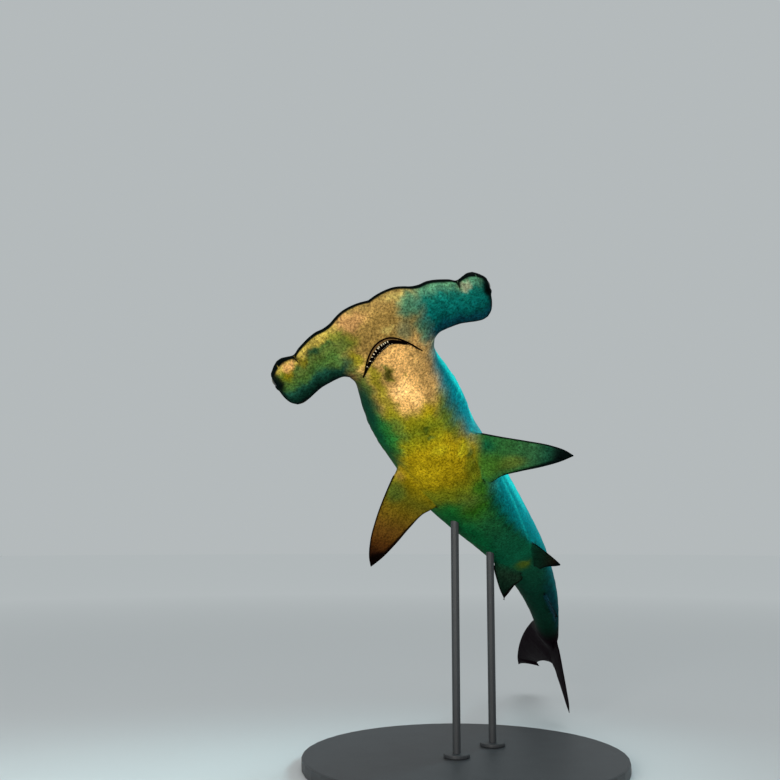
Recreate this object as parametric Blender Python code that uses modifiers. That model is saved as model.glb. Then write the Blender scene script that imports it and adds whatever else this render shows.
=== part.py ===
"""Scalloped hammerhead shark, an adult at life size, swimming, on a display stand.

Places on the body are given in its own measures, as shares of its total length:
s runs back along the spine from the snout, y to the shark's left and z to its back.
The function place turns them into metres in the frame of the stand, whose origin is
the middle of the base's underside, with +Z up and the shark heading for -Y.
"""

import math

import bmesh
import bpy
import numpy as np

# Driving dimensions of the animal.
LENGTH = 2.5
GAP = 0.0003
PITCH_UP = 32.6
BANK = 33.4
HOLD_SHARE = 0.30
HOLD_PLACE = (0.0, -0.05, 0.95)

# Bend of the swimming body: share of the length, turn to the left and roll in degrees.
BEND = [
    (0.00, 11.4, 6.3), (0.10, 11.4, 6.3), (0.155, 8.2, 3.9), (0.22, 6.6, 1.5), (0.28, 1.0, 0.0),
    (0.45, 0.6, -1.3), (0.60, 11.6, 13.2), (0.74, 22.1, 13.7), (1.00, 0.0, 12.7),
]

# Girth: share of the length, half width, depth below and height above the spine.
GIRTH = [
    (0.000, 0.0565, 0.0100, 0.0130), (0.020, 0.0565, 0.0150, 0.0190),
    (0.050, 0.0565, 0.0235, 0.0280), (0.0862, 0.0565, 0.0310, 0.0390),
    (0.096, 0.0526, 0.0335, 0.0415), (0.108, 0.0518, 0.0370, 0.0435),
    (0.125, 0.0545, 0.0425, 0.0475), (0.155, 0.0590, 0.0510, 0.0550),
    (0.200, 0.0598, 0.0580, 0.0640), (0.240, 0.0580, 0.0610, 0.0700),
    (0.290, 0.0578, 0.0615, 0.0735), (0.330, 0.0555, 0.0605, 0.0725),
    (0.380, 0.0500, 0.0570, 0.0680), (0.450, 0.0420, 0.0480, 0.0560),
    (0.500, 0.0375, 0.0410, 0.0480), (0.560, 0.0305, 0.0335, 0.0390),
    (0.620, 0.0240, 0.0275, 0.0310), (0.680, 0.0172, 0.0225, 0.0250),
    (0.705, 0.0148, 0.0215, 0.0245),
]

# Outline of the hammer seen from above, as (s, y): front edge, side with the eye, rear edge.
AXIL = (0.0862, 0.0565)
FRONT_EDGE = [
    (0.0050, 0.0000), (0.0026, 0.0100), (0.0018, 0.0220), (0.0032, 0.0330), (0.0074, 0.0430),
    (0.0122, 0.0520), (0.0143, 0.0600), (0.0145, 0.0700), (0.0170, 0.0790), (0.0210, 0.0880),
    (0.0255, 0.0965), (0.0307, 0.1040), (0.0293, 0.1110), (0.0283, 0.1180), (0.0307, 0.1255),
]
OUTER_EDGE = [
    (0.0307, 0.1255), (0.0380, 0.1330), (0.0455, 0.1365), (0.0540, 0.1376), (0.0640, 0.1368),
    (0.0765, 0.1350), (0.0858, 0.1315), (0.0927, 0.1250),
]
REAR_EDGE = [
    AXIL, (0.0828, 0.0620), (0.0826, 0.0700), (0.0838, 0.0800), (0.0858, 0.0900),
    (0.0896, 0.1000), (0.0932, 0.1090), (0.0947, 0.1175), (0.0927, 0.1250),
]
WING_ABOVE = 0.0150
WING_BELOW = 0.0125
EDGE_ROUNDING = 0.026
TIP_ROUNDING = 0.0125

# Where thin cuts part the body, as shares of the length.
HEAD_END = 0.128
THROAT_END = 0.212
TRUNK_END = 0.400
BELLY_END = 0.530
TAIL_END = 0.652
STEM_END = 0.705

# Eyes, mouth, nostrils and gills.
EYE_RADIUS = 0.0098
EYE_S = 0.0520
EYE_Y = 0.1292
LID_RADIUS = 0.0016
MOUTH_APEX = 0.0467
MOUTH_CORNER = (0.0808, 0.0369)
MOUTH_GROOVE = 0.0022
LIP_RADIUS = 0.0026
LIP_OFFSET = 0.0036
TEETH_A_ROW = 12
TOOTH_LENGTH = 0.0030
TOOTH_RADIUS = 0.0008
NOSTRIL = (0.0300, 0.1035)
NOSTRIL_RADIUS = 0.0022
GROOVE_RADIUS = 0.0012
GILL_FIRST = 0.1620
GILL_STEP = 0.0098
GILL_SLITS = 5
GILL_LOW = -0.030
GILL_HIGH = 0.016
GILL_FLAP = 0.0016
GILL_GROOVE = 0.0009

# Caudal fin, as (s, z): upper edge, lower edge of the upper lobe, and lower lobe.
CAUDAL_TOP = [
    (0.705, 0.0245), (0.717, 0.0345), (0.730, 0.0435), (0.760, 0.0595), (0.800, 0.0785),
    (0.850, 0.0990), (0.900, 0.1185), (0.935, 0.1330), (0.955, 0.1410), (0.9665, 0.1460),
]
CAUDAL_BOTTOM = [
    (0.705, -0.0215), (0.735, -0.0170), (0.765, -0.0110), (0.7939, -0.0045), (0.800, 0.0040),
    (0.820, 0.0231), (0.850, 0.0469), (0.880, 0.0678), (0.900, 0.0814), (0.920, 0.0950),
    (0.9320, 0.1030), (0.9360, 0.0990), (0.948, 0.1060), (0.958, 0.1190), (0.9665, 0.1400),
]
LOWER_LEAD = [
    (0.7055, -0.0185), (0.715, -0.0330), (0.735, -0.0560), (0.755, -0.0795), (0.770, -0.0950),
    (0.7800, -0.1005),
]
LOWER_TRAIL = [
    (0.7935, -0.0030), (0.7870, -0.0220), (0.7835, -0.0430), (0.7830, -0.0650),
    (0.7840, -0.0850), (0.7812, -0.1000),
]
LOWER_FLEX = -0.021
UPPER_FLEX = -0.0104
TRAIL_FLEX = 0.0160
TAIL_TIP = 0.9648
CAUDAL_THICK = 0.0032

# Reach of a pectoral fin from the middle, and how far the right one's rear edge is raised.
FIN_REACH = 0.149
RIGHT_FIN_TWIST = 0.0045

# Display stand, metres.
BASE_RADIUS = 0.52
BASE_HEIGHT = 0.04
BASE_BEVEL = 0.006
ROD_RADIUS = 0.013
COLLAR_RADIUS = 0.042
COLLAR_HEIGHT = 0.012
ROD_SHARES = {"front": 0.335, "rear": 0.430}

# Number of panels: across the body, across each wing of the hammer, and along.
BODY_PANELS = 16
WING_PANELS = 8
HEAD_ROWS = 10
ROW_LENGTH = 0.0150

SHADE_GREY = (0.20, 0.24, 0.22, 1.0)
BELLY_OLIVE = (0.42, 0.40, 0.24, 1.0)
FIN_BROWN = (0.22, 0.20, 0.12, 1.0)
EYE_BLACK = (0.02, 0.02, 0.02, 1.0)
STAND_GREY = (0.16, 0.16, 0.17, 1.0)


def natural_spline(xs, ys):
    """Curve through points with no bend at either end, cubic between them."""
    xs = np.asarray(xs, float)
    ys = np.asarray(ys, float)
    steps = np.diff(xs)
    count = len(xs)
    matrix = np.eye(count)
    right = np.zeros_like(ys)
    for i in range(1, count - 1):
        matrix[i, i - 1:i + 2] = steps[i - 1], 2 * (steps[i - 1] + steps[i]), steps[i]
        right[i] = 6 * ((ys[i + 1] - ys[i]) / steps[i] - (ys[i] - ys[i - 1]) / steps[i - 1])
    bends = np.linalg.solve(matrix, right)

    def curve(x):
        x = np.asarray(x, float)
        i = np.clip(np.searchsorted(xs, x, side="right") - 1, 0, count - 2)
        before, after, step = x - xs[i], xs[i + 1] - x, steps[i]
        if ys.ndim > 1:
            before, after, step = before[..., None], after[..., None], step[..., None]
        cubic = (bends[i] * after**3 + bends[i + 1] * before**3) / (6 * step)
        low = (ys[i] / step - bends[i] * step / 6) * after
        high = (ys[i + 1] / step - bends[i + 1] * step / 6) * before
        return cubic + low + high

    return curve


def drawn_curve(points):
    """Curve through points, followed from 0 to 1 by its length, that keeps close to its chords."""
    points = np.asarray(points, float)
    chords = np.linalg.norm(np.diff(points, axis=0), axis=1)
    marks = np.concatenate([[0.0], np.cumsum(chords)]) / chords.sum()
    slopes = np.gradient(points, marks, axis=0)

    def curve(t):
        t = np.clip(np.asarray(t, float), 0.0, 1.0)
        i = np.clip(np.searchsorted(marks, t, side="right") - 1, 0, len(marks) - 2)
        step = (marks[i + 1] - marks[i])[..., None]
        u = (t[..., None] - marks[i][..., None]) / step
        ends = (2 * u**3 - 3 * u**2 + 1) * points[i] + (3 * u**2 - 2 * u**3) * points[i + 1]
        turns = (u**3 - 2 * u**2 + u) * slopes[i] + (u**3 - u**2) * slopes[i + 1]
        return ends + turns * step

    return curve


def ease(x, low, high):
    """Smooth step from 0 at low to 1 at high."""
    t = np.clip((np.asarray(x, float) - low) / (high - low), 0.0, 1.0)
    return t * t * (3 - 2 * t)


def mix(a, b, weight):
    return a + (b - a) * weight


def build_spine(samples=1001):
    """Points of the spine and the body's three directions there, in metres in the stand's frame."""
    shares = np.linspace(0, 1, samples)
    table = np.array(BEND)
    turn, roll = (np.radians(natural_spline(table[:, 0], table[:, k])(shares)) for k in (1, 2))
    zero = np.zeros(samples)
    ahead = np.stack([np.cos(turn), np.sin(turn), zero], 1)
    left0 = np.stack([-np.sin(turn), np.cos(turn), zero], 1)
    back0 = np.cross(ahead, left0)
    cos_roll, sin_roll = np.cos(roll)[:, None], np.sin(roll)[:, None]
    left = left0 * cos_roll + back0 * sin_roll
    back = back0 * cos_roll - left0 * sin_roll
    middles = 0.5 * (ahead[1:] + ahead[:-1]) * (shares[1] - shares[0])
    points = np.concatenate([np.zeros((1, 3)), -np.cumsum(middles, 0)])
    hold = np.array([np.interp(HOLD_SHARE, shares, points[:, k]) for k in range(3)])
    pitch, bank = math.radians(PITCH_UP), math.radians(BANK)
    nose = np.array([0.0, -math.cos(pitch), math.sin(pitch)])
    flat_left = np.array([1.0, 0.0, 0.0])
    flat_back = np.cross(nose, flat_left)
    port = flat_left * math.cos(bank) + flat_back * math.sin(bank)
    top = flat_back * math.cos(bank) - flat_left * math.sin(bank)
    axes = np.array([nose, port, top])
    spine = (points - hold) @ axes * LENGTH + np.array(HOLD_PLACE)
    return shares, spine, left @ axes, back @ axes


SPINE = build_spine()


def place(s, y, z):
    """Point at share s, y to the left and z to the back, in metres in the stand's frame."""
    shares, spine, left, back = SPINE
    s, y, z = np.broadcast_arrays(*(np.asarray(v, float) for v in (s, y, z)))

    def along(rows):
        return np.stack([np.interp(s, shares, rows[:, k]) for k in range(3)], -1)

    return along(spine) + LENGTH * (y[..., None] * along(left) + z[..., None] * along(back))


GIRTH_TABLE = np.array(GIRTH)
HALF_WIDTH, BELOW, ABOVE = (
    natural_spline(GIRTH_TABLE[:, 0], GIRTH_TABLE[:, k]) for k in (1, 2, 3)
)


def half_outline():
    """Points of the outline of head and neck on one side, from the middle of the front edge."""
    t = np.linspace(0, 1, 300)
    neck = np.linspace(AXIL[0], 0.22, 200)
    sides = [drawn_curve(FRONT_EDGE)(t), drawn_curve(OUTER_EDGE)(t), drawn_curve(REAR_EDGE)(t[::-1])]
    return np.concatenate(sides + [np.stack([neck, HALF_WIDTH(neck)], 1)])


OUTLINE = half_outline()
# Closer than this to the outline, a point counts as on it, so that back and belly meet there.
OUTLINE_BLUR = 0.00002


def edge_distance(s, y):
    """How far a point of the plan lies inside the outline of head and neck."""
    start, run = OUTLINE[:-1], np.diff(OUTLINE, axis=0)
    length2 = np.maximum((run**2).sum(-1), 1e-18)
    flat_s, flat_y = np.ravel(s), np.abs(np.ravel(y))
    gaps = np.empty(flat_s.shape)
    for low in range(0, len(gaps), 1000):
        ds = flat_s[low:low + 1000, None] - start[:, 0]
        dy = flat_y[low:low + 1000, None] - start[:, 1]
        share = np.clip((ds * run[:, 0] + dy * run[:, 1]) / length2, 0, 1)
        gap = np.hypot(ds - share * run[:, 0], dy - share * run[:, 1]).min(1)
        gaps[low:low + 1000] = gap
    return np.maximum(gaps - OUTLINE_BLUR, 0.0).reshape(np.shape(s))


def height(s, y, side):
    """Height of the back (side 1) or depth of the belly (side -1) over a point of the plan.

    It is a core height times a quarter round that closes to nothing at the outline.
    """
    s, y = np.broadcast_arrays(np.asarray(s, float), np.asarray(y, float))
    width = HALF_WIDTH(np.maximum(s, AXIL[0]))
    body = ABOVE(s) if side > 0 else BELOW(s)
    wing = WING_ABOVE if side > 0 else WING_BELOW
    spread = mix(0.046, 0.086, ease(s, 0.04, 0.10)) + 0.2 * ease(s, 0.105, 0.14)
    core = mix(wing, body, np.exp(-(np.abs(y) / spread) ** 4))
    inside = np.maximum(width - np.abs(y), 0.0)
    if s.min() < 0.16:
        inside = mix(edge_distance(s, y), inside, ease(s, 0.11, 0.16))
    rounding = mix(EDGE_ROUNDING, TIP_ROUNDING, ease(np.abs(y), 0.106, 0.128))
    rounding = mix(rounding, width, ease(s, 0.06, 0.13) * (1 - ease(np.abs(y), 0.06, 0.08)))
    fullness = mix(2.0, 2.35, ease(s, 0.10, 0.20)) if side < 0 else 2.0
    rise = np.clip(1 - inside / rounding, 0.0, 1.0)
    return side * core * (1 - rise**fullness) ** (1 / fullness)


def column_spread(panels):
    """Shares of the half width, set closer together towards the flanks."""
    return np.sin(np.linspace(-0.5, 0.5, panels + 1) * math.pi)


def chord_rows(rows):
    """Shares of the hammer's length, set closer together at its front and rear edges."""
    t = np.linspace(0, 1, rows + 1)
    return mix(t, 0.5 - 0.5 * np.cos(math.pi * t), 0.75)


def wing_plan(rows, panels):
    """Plan of the left half of the hammer outside the neck: a patch between its four edges."""
    front_curve, outer_curve = drawn_curve(FRONT_EDGE), drawn_curve(OUTER_EDGE)
    rear_curve = drawn_curve(REAR_EDGE)
    fine = np.linspace(0, 1, 400)
    start = np.interp(AXIL[1], front_curve(fine)[:, 1], fine)
    g = chord_rows(rows)[:, None, None]
    w = np.sin(np.linspace(0, 0.5, panels + 1) * math.pi)
    w = mix(np.linspace(0, 1, panels + 1), w, 0.6)
    front = front_curve(mix(start, 1.0, w))[None]
    rear = rear_curve(w)[None]
    outer = outer_curve(g[:, 0, 0])[:, None]
    inner = mix(front[:, :1], rear[:, :1], g)
    w = w[None, :, None]
    corners = mix(mix(front[:, :1], front[:, -1:], w), mix(rear[:, :1], rear[:, -1:], w), g)
    return mix(front, rear, g) + mix(inner, outer, w) - corners


def middle_plan(rows, panels):
    """Plan of the middle of the head, between the two wings of the hammer."""
    front_curve = drawn_curve(FRONT_EDGE)
    fine = front_curve(np.linspace(0, 1, 400))
    across = column_spread(panels) * AXIL[1]
    front = np.interp(np.abs(across), fine[:, 1], fine[:, 0])
    g = chord_rows(rows)[:, None]
    return np.stack([mix(front[None], AXIL[0], g), np.broadcast_to(across, (rows + 1, panels + 1))], -1)


def trunk_plan(start, end, panels, row_length):
    rows = max(2, math.ceil((end - start) / row_length))
    s = np.linspace(start, end, rows + 1)[:, None]
    return np.stack([np.broadcast_to(s, (rows + 1, panels + 1)),
                     HALF_WIDTH(s) * column_spread(panels)], -1)


def raise_plan(plan, side):
    """Points of the back or the belly over a plan."""
    return place(plan[..., 0], plan[..., 1], height(plan[..., 0], plan[..., 1], side))


def add_back_and_belly(surface, plan):
    """Both sheets over a plan, without the triangles that lie flat in a corner of the outline."""
    for side in (1, -1):
        rise = height(plan[..., 0], plan[..., 1], side)
        surface.add_grid(place(plan[..., 0], plan[..., 1], rise), side < 0, rise == 0)


def grid_triangles(rows, columns, flip):
    """Two triangles for each cell of a grid, with the same diagonal on both faces of a blade."""
    i, j = np.meshgrid(np.arange(rows - 1), np.arange(columns - 1), indexing="ij")
    a = (i * columns + j).ravel()
    b, c, d = a + columns, a + columns + 1, a + 1
    faces = np.concatenate([np.stack([a, b, c], 1), np.stack([a, c, d], 1)])
    return faces[:, ::-1] if flip else faces


class Surface:
    """Points and triangles gathered from several patches, made one closed mesh at the end."""

    def __init__(self):
        self.points = []
        self.faces = []
        self.count = 0

    def add_grid(self, grid, flip=False, flat=None):
        rows, columns = grid.shape[:2]
        faces = grid_triangles(rows, columns, flip)
        if flat is not None:
            faces = faces[~flat.ravel()[faces].all(1)]
        self.faces.append(faces + self.count)
        self.points.append(grid.reshape(-1, 3))
        self.count += rows * columns

    def add_fan(self, ring):
        """Close a ring of points with triangles round its middle."""
        count = len(ring)
        self.points.append(np.concatenate([ring, ring.mean(0, keepdims=True)]))
        i = np.arange(count)
        self.faces.append(self.count + np.stack([i, (i + 1) % count, np.full(count, count)], 1))
        self.count += count + 1

    def add_shell(self, top, bottom, close_root=True, close_tip=True):
        """Two sheets of a blade with the edges between them."""
        self.add_grid(top)
        self.add_grid(bottom, flip=True)
        for column in (0, -1):
            self.add_grid(np.stack([top[:, column], bottom[:, column]], 1))
        for wanted, row in ((close_root, 0), (close_tip, -1)):
            if wanted:
                self.add_grid(np.stack([top[row], bottom[row]], 1))

    def finish(self, name, material, merge=0.00002):
        mesh = bpy.data.meshes.new(name)
        mesh.from_pydata(np.concatenate(self.points).tolist(), [], np.concatenate(self.faces).tolist())
        obj = bpy.data.objects.new(name, mesh)
        WORKSHOP.objects.link(obj)
        work = bmesh.new()
        work.from_mesh(mesh)
        bmesh.ops.remove_doubles(work, verts=work.verts, dist=merge)
        bmesh.ops.dissolve_degenerate(work, edges=work.edges, dist=merge)
        bmesh.ops.recalc_face_normals(work, faces=work.faces)
        work.to_mesh(mesh)
        work.free()
        mesh.materials.append(material)
        return obj


def make_material(name, colour, roughness, metallic=0.0):
    material = bpy.data.materials.new(name)
    material.use_nodes = True
    shader = material.node_tree.nodes["Principled BSDF"]
    shader.inputs["Base Color"].default_value = colour
    shader.inputs["Roughness"].default_value = roughness
    shader.inputs["Metallic"].default_value = metallic
    return material


def keep_largest(obj):
    """Keep the largest closed surface of a node and drop loose scraps."""
    work = bmesh.new()
    work.from_mesh(obj.data)
    bmesh.ops.remove_doubles(work, verts=work.verts, dist=0.00001)
    bmesh.ops.dissolve_degenerate(work, edges=work.edges, dist=0.00001)
    bmesh.ops.triangulate(work, faces=work.faces)
    left = set(work.faces)
    shells = []
    while left:
        seed = left.pop()
        shell, front = {seed}, [seed]
        while front:
            face = front.pop()
            for edge in face.edges:
                for other in edge.link_faces:
                    if other in left:
                        left.discard(other)
                        shell.add(other)
                        front.append(other)
        shells.append(shell)
    shells.sort(key=lambda shell: sum(face.calc_area() for face in shell))
    scraps = [face for shell in shells[:-1] for face in shell]
    bmesh.ops.delete(work, geom=scraps, context="FACES")
    loose = [vertex for vertex in work.verts if not vertex.link_faces]
    bmesh.ops.delete(work, geom=loose, context="VERTS")
    work.to_mesh(obj.data)
    work.free()


def combine(obj, others, operation, solver="EXACT"):
    """Join the others to a node, or cut them from it, and remove them."""
    group = bpy.data.collections.new("operands")
    bpy.context.scene.collection.children.link(group)
    for other in others:
        WORKSHOP.objects.unlink(other)
        group.objects.link(other)
    modifier = obj.modifiers.new(operation.title(), "BOOLEAN")
    modifier.operation = operation
    modifier.operand_type = "COLLECTION"
    modifier.collection = group
    modifier.solver = solver
    evaluated = obj.evaluated_get(bpy.context.evaluated_depsgraph_get())
    mesh = bpy.data.meshes.new_from_object(evaluated)
    obj.modifiers.clear()
    old, obj.data = obj.data, mesh
    mesh.name = obj.name
    bpy.data.meshes.remove(old)
    for other in others:
        bpy.data.objects.remove(other)
    bpy.data.collections.remove(group)
    keep_largest(obj)


def swollen_copy(obj, gap=GAP):
    """Copy of a node grown by the gap, for cutting its neighbour back."""
    mesh = obj.data.copy()
    copy = bpy.data.objects.new(obj.name + "_grown", mesh)
    WORKSHOP.objects.link(copy)
    work = bmesh.new()
    work.from_mesh(mesh)
    work.normal_update()
    moves = []
    for vertex in work.verts:
        lean = min((vertex.normal.dot(face.normal) for face in vertex.link_faces), default=1.0)
        moves.append((vertex, vertex.normal * gap / max(lean, 0.5)))
    for vertex, move in moves:
        vertex.co += move
    work.to_mesh(mesh)
    work.free()
    return copy


def sweep(name, path, radii, material, sides=6):
    """Closed round bar along a path of points in metres, with its own radius at each point."""
    path, radii = np.asarray(path, float), np.asarray(radii, float)
    heading = np.gradient(path, axis=0)
    heading /= np.linalg.norm(heading, axis=1, keepdims=True)
    across = np.cross(heading, np.array([0.31, 0.42, 0.85]))
    across /= np.linalg.norm(across, axis=1, keepdims=True)
    other = np.cross(heading, across)
    angle = np.linspace(0, 2 * math.pi, sides + 1)[None, :, None]
    ring = across[:, None] * np.cos(angle) + other[:, None] * np.sin(angle)
    grid = path[:, None] + radii[:, None, None] * ring
    surface = Surface()
    surface.add_grid(grid)
    surface.add_fan(grid[0, :-1])
    surface.add_fan(grid[-1, :-1])
    return surface.finish(name, material)


def ball(name, centre, radius, material, segments=14):
    mesh = bpy.data.meshes.new(name)
    work = bmesh.new()
    bmesh.ops.create_uvsphere(work, u_segments=segments, v_segments=segments // 2, radius=radius)
    bmesh.ops.triangulate(work, faces=work.faces)
    bmesh.ops.translate(work, verts=work.verts, vec=centre.tolist())
    work.to_mesh(mesh)
    work.free()
    mesh.materials.append(material)
    obj = bpy.data.objects.new(name, mesh)
    WORKSHOP.objects.link(obj)
    return obj


def spike(name, root, tip, radius, material, sides=4):
    """Pointed cone from root to tip."""
    surface = Surface()
    heading = (tip - root) / np.linalg.norm(tip - root)
    across = np.cross(heading, np.array([0.2, 0.9, 0.4]))
    across /= np.linalg.norm(across)
    angle = np.linspace(0, 2 * math.pi, sides + 1)[:-1, None]
    ring = root + radius * (across * np.cos(angle) + np.cross(heading, across) * np.sin(angle))
    surface.add_fan(ring)
    i = np.arange(sides)
    surface.points.append(np.concatenate([ring, tip[None]]))
    surface.faces.append(surface.count + np.stack([(i + 1) % sides, i, np.full(sides, sides)], 1))
    surface.count += sides + 1
    return surface.finish(name, material)


def ring_at(s):
    """Closed ring of the body's section at one share of the length."""
    plan = np.stack([np.full(BODY_PANELS + 1, s), HALF_WIDTH(s) * column_spread(BODY_PANELS)], -1)
    return np.concatenate([raise_plan(plan, 1), raise_plan(plan[::-1], -1)[1:-1]])


def body_length(name, start, end, material):
    """One length of the body, between two of the thin cuts."""
    surface = Surface()
    add_back_and_belly(surface, trunk_plan(start, end, BODY_PANELS, ROW_LENGTH))
    surface.add_fan(ring_at(start))
    surface.add_fan(ring_at(end))
    return surface.finish(name, material)


def mouth_line(u, shift=0.0, depth=0.0):
    """Point of the mouth's arc for u from -1 to 1, shifted back along it and sunk into the head."""
    u = np.asarray(u, float)
    s = MOUTH_APEX + (MOUTH_CORNER[0] - MOUTH_APEX) * np.abs(u) ** 1.9 + shift
    y = MOUTH_CORNER[1] * u
    return place(s, y, height(s, y, -1) + depth)


def add_mouth(head, material):
    """Lips as two bars along the mouth's arc, the slit between them and teeth on both sides."""
    u = np.linspace(-1, 1, 17)
    fade = 1 - 0.75 * np.abs(u) ** 4
    lips = []
    for name, shift in (("lip_front", -LIP_OFFSET), ("lip_rear", LIP_OFFSET)):
        path = mouth_line(u * 0.99, shift * fade, 0.0010)
        lips.append(sweep(name, path, LENGTH * LIP_RADIUS * fade, material, 5))
    combine(head, lips, "UNION")
    width = LENGTH * MOUTH_GROOVE * (1 - 0.6 * np.abs(u) ** 3)
    slit = sweep("slit", mouth_line(u), width, material, 5)
    combine(head, [slit], "DIFFERENCE")
    teeth = []
    for k in range(TEETH_A_ROW):
        u_tooth = mix(-0.80, 0.80, (k + 0.5) / TEETH_A_ROW)
        for side, shift in (("front", -1), ("rear", 1)):
            root = mouth_line(u_tooth, shift * (MOUTH_GROOVE + 0.0012), 0.0006)
            tip = mouth_line(u_tooth, shift * (MOUTH_GROOVE + 0.0012 - TOOTH_LENGTH), -0.0004)
            teeth.append(spike(f"tooth_{side}_{k}", root, tip, LENGTH * TOOTH_RADIUS, material))
    combine(head, teeth, "UNION")


def add_nostrils(head, material):
    """A slot at each nostril and the groove that runs from it towards the snout."""
    cutters = []
    for side in (-1, 1):
        s = NOSTRIL[0] + np.array([-0.0012, 0.0020, 0.0055])
        y = NOSTRIL[1] + np.array([0.0, 0.0005, 0.0020])
        z = np.array([-0.0035, -0.0080, -0.0105])
        radii = LENGTH * NOSTRIL_RADIUS * np.array([0.9, 1.0, 0.5])
        cutters.append(sweep("nostril", place(s, side * y, z), radii, material))
        edge = drawn_curve(FRONT_EDGE)(np.linspace(0.42, 0.76, 9))
        path = place(edge[:, 0] + 0.0012, side * edge[:, 1], -0.0036)
        cutters.append(sweep("groove", path, np.full(9, LENGTH * GROOVE_RADIUS), material, sides=5))
    combine(head, cutters, "DIFFERENCE")


def add_eyes(head, flesh, dark):
    """Eyes as balls in sockets, each with a ring of lid round it."""
    lids, sockets, eyes = [], [], []
    for name, side in (("eye_right", -1), ("eye_left", 1)):
        centre = place(EYE_S, side * EYE_Y, 0.0)
        outward = place(EYE_S, side * (EYE_Y + 0.01), 0.0) - centre
        outward /= np.linalg.norm(outward)
        ahead = place(EYE_S - 0.01, side * EYE_Y, 0.0) - centre
        ahead /= np.linalg.norm(ahead)
        upward = np.cross(outward, ahead)
        angle = np.linspace(0, 2 * math.pi, 16)[:, None]
        radius = LENGTH * EYE_RADIUS
        ring = centre + outward * radius * 0.45
        ring = ring + radius * 0.93 * (ahead * np.cos(angle) + upward * np.sin(angle))
        surface = Surface()
        tube = np.linspace(0, 2 * math.pi, 6)[None, :, None]
        spoke = (ring - centre - outward * radius * 0.45)[:, None]
        spoke = spoke / np.linalg.norm(spoke, axis=-1, keepdims=True)
        lid = ring[:, None] + LENGTH * LID_RADIUS * (spoke * np.cos(tube) + outward * np.sin(tube))
        surface.add_grid(lid)
        lids.append(surface.finish("lid", flesh))
        sockets.append(ball("socket", centre, radius + GAP, flesh))
        eyes.append(ball(name, centre, radius, dark))
    combine(head, lids, "UNION")
    combine(head, sockets, "DIFFERENCE")
    return eyes


def build_head(flesh, dark):
    """Hammer and snout as one soft plate, with mouth, nostrils and eye sockets."""
    surface = Surface()
    wing = wing_plan(HEAD_ROWS, WING_PANELS)
    mirrored = wing * np.array([1.0, -1.0])
    neck = trunk_plan(AXIL[0], HEAD_END, BODY_PANELS, ROW_LENGTH)
    middle = middle_plan(HEAD_ROWS, BODY_PANELS)
    for plan in (wing, mirrored, middle, neck):
        add_back_and_belly(surface, plan)
    surface.add_fan(ring_at(HEAD_END))
    head = surface.finish("head", flesh)
    add_mouth(head, flesh)
    add_nostrils(head, flesh)
    return [head] + add_eyes(head, flesh, dark)


def gill_path(number, side, shift=0.0, lift=0.0, steps=6):
    """Line of one gill slit up the flank, leaning back towards its top."""
    t = np.linspace(0, 1, steps)
    z = mix(GILL_LOW, GILL_HIGH, t)
    s = GILL_FIRST + number * GILL_STEP + shift + 0.004 * (t - 0.5) ** 2
    half = HALF_WIDTH(s)
    reach = np.where(z > 0, ABOVE(s), BELOW(s))
    power = np.where(z > 0, 2.0, 2.35)
    y = half * (1 - (np.abs(z) / reach) ** power) ** (1 / power)
    return place(s, side * (y + lift), z)


def add_gills(throat, material):
    """Five gill slits a side: a flap that rises gently and ends in a groove."""
    flaps, slits = [], []
    for side in (-1, 1):
        for number in range(GILL_SLITS):
            surface = Surface()
            rim = gill_path(number, side, -0.0004, GILL_FLAP)
            front = gill_path(number, side, -0.0070, -0.0004)
            under = gill_path(number, side, -0.0004, -0.0030)
            grid = np.stack([front, rim, under, front], 1)
            surface.add_grid(grid)
            surface.add_fan(grid[0, :3])
            surface.add_fan(grid[-1, :3])
            flaps.append(surface.finish("flap", material))
            path = gill_path(number, side, 0.0008, 0.0)
            slits.append(sweep("slit", path, np.full(len(path), LENGTH * GILL_GROOVE), material, 4))
    combine(throat, flaps, "UNION")
    combine(throat, slits, "DIFFERENCE")


def blade(name, lead, trail, thick, material, hosts, rows=10, columns=7, root_sink=0.012,
          bow=0.0):
    """Fin between a leading and a trailing edge, cut to meet the body.

    Each row is a thin wing section from edge to edge. It is thickest at a third of its
    chord, and the rows grow thinner towards the tip. The bow bends the fin sideways.
    """
    lead_curve, trail_curve = drawn_curve(lead), drawn_curve(trail)
    v = np.linspace(0, 1, rows + 1)
    u = np.linspace(0, 1, columns + 1)[None, :, None] ** 1.25
    front, rear = lead_curve(v)[:, None], trail_curve(v)[:, None]
    sheet = mix(front, rear, u)
    inward = sheet[:1] - root_sink * span_direction(lead, trail)
    sheet = np.concatenate([inward, sheet])
    v = np.concatenate([[-0.06], v])
    points = place(sheet[..., 0], sheet[..., 1], sheet[..., 2])
    normal = np.cross(np.gradient(points, axis=0), np.gradient(points, axis=1))
    normal /= np.maximum(np.linalg.norm(normal, axis=-1, keepdims=True), 1e-12)
    normal[-1] = normal[-2]
    u = u[..., 0]
    section = 1.75 * np.sqrt(u) * (1 - u) ** 0.8 + 0.02
    taper = mix(1.0, 0.16, np.clip(v, 0, 1)[:, None] ** 0.8)
    half = np.maximum(LENGTH * thick * section * taper, 0.0006)
    lean = bow * LENGTH * (np.clip(v, 0, 1) ** 2)[:, None, None] * normal
    surface = Surface()
    surface.add_shell(points + lean + half[..., None] * normal, points + lean - half[..., None] * normal)
    fin = surface.finish(name, material)
    combine(fin, [swollen_copy(host) for host in hosts], "DIFFERENCE")
    return fin


def span_direction(lead, trail):
    """Direction from a fin's root to its tip, as shares of the length."""
    root = 0.5 * (np.array(lead[0]) + np.array(trail[0]))
    span = np.array(lead[-1]) - root
    return span / np.linalg.norm(span)


def paired(points, side, pull=0.0):
    """Points of a paired fin, with its inner part pulled forward and up."""
    shares = [pull * (1 - (y / FIN_REACH) ** 2) for s, y, z in points]
    return [(s - share, side * y, z + share) for (s, y, z), share in zip(points, shares)]


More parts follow.
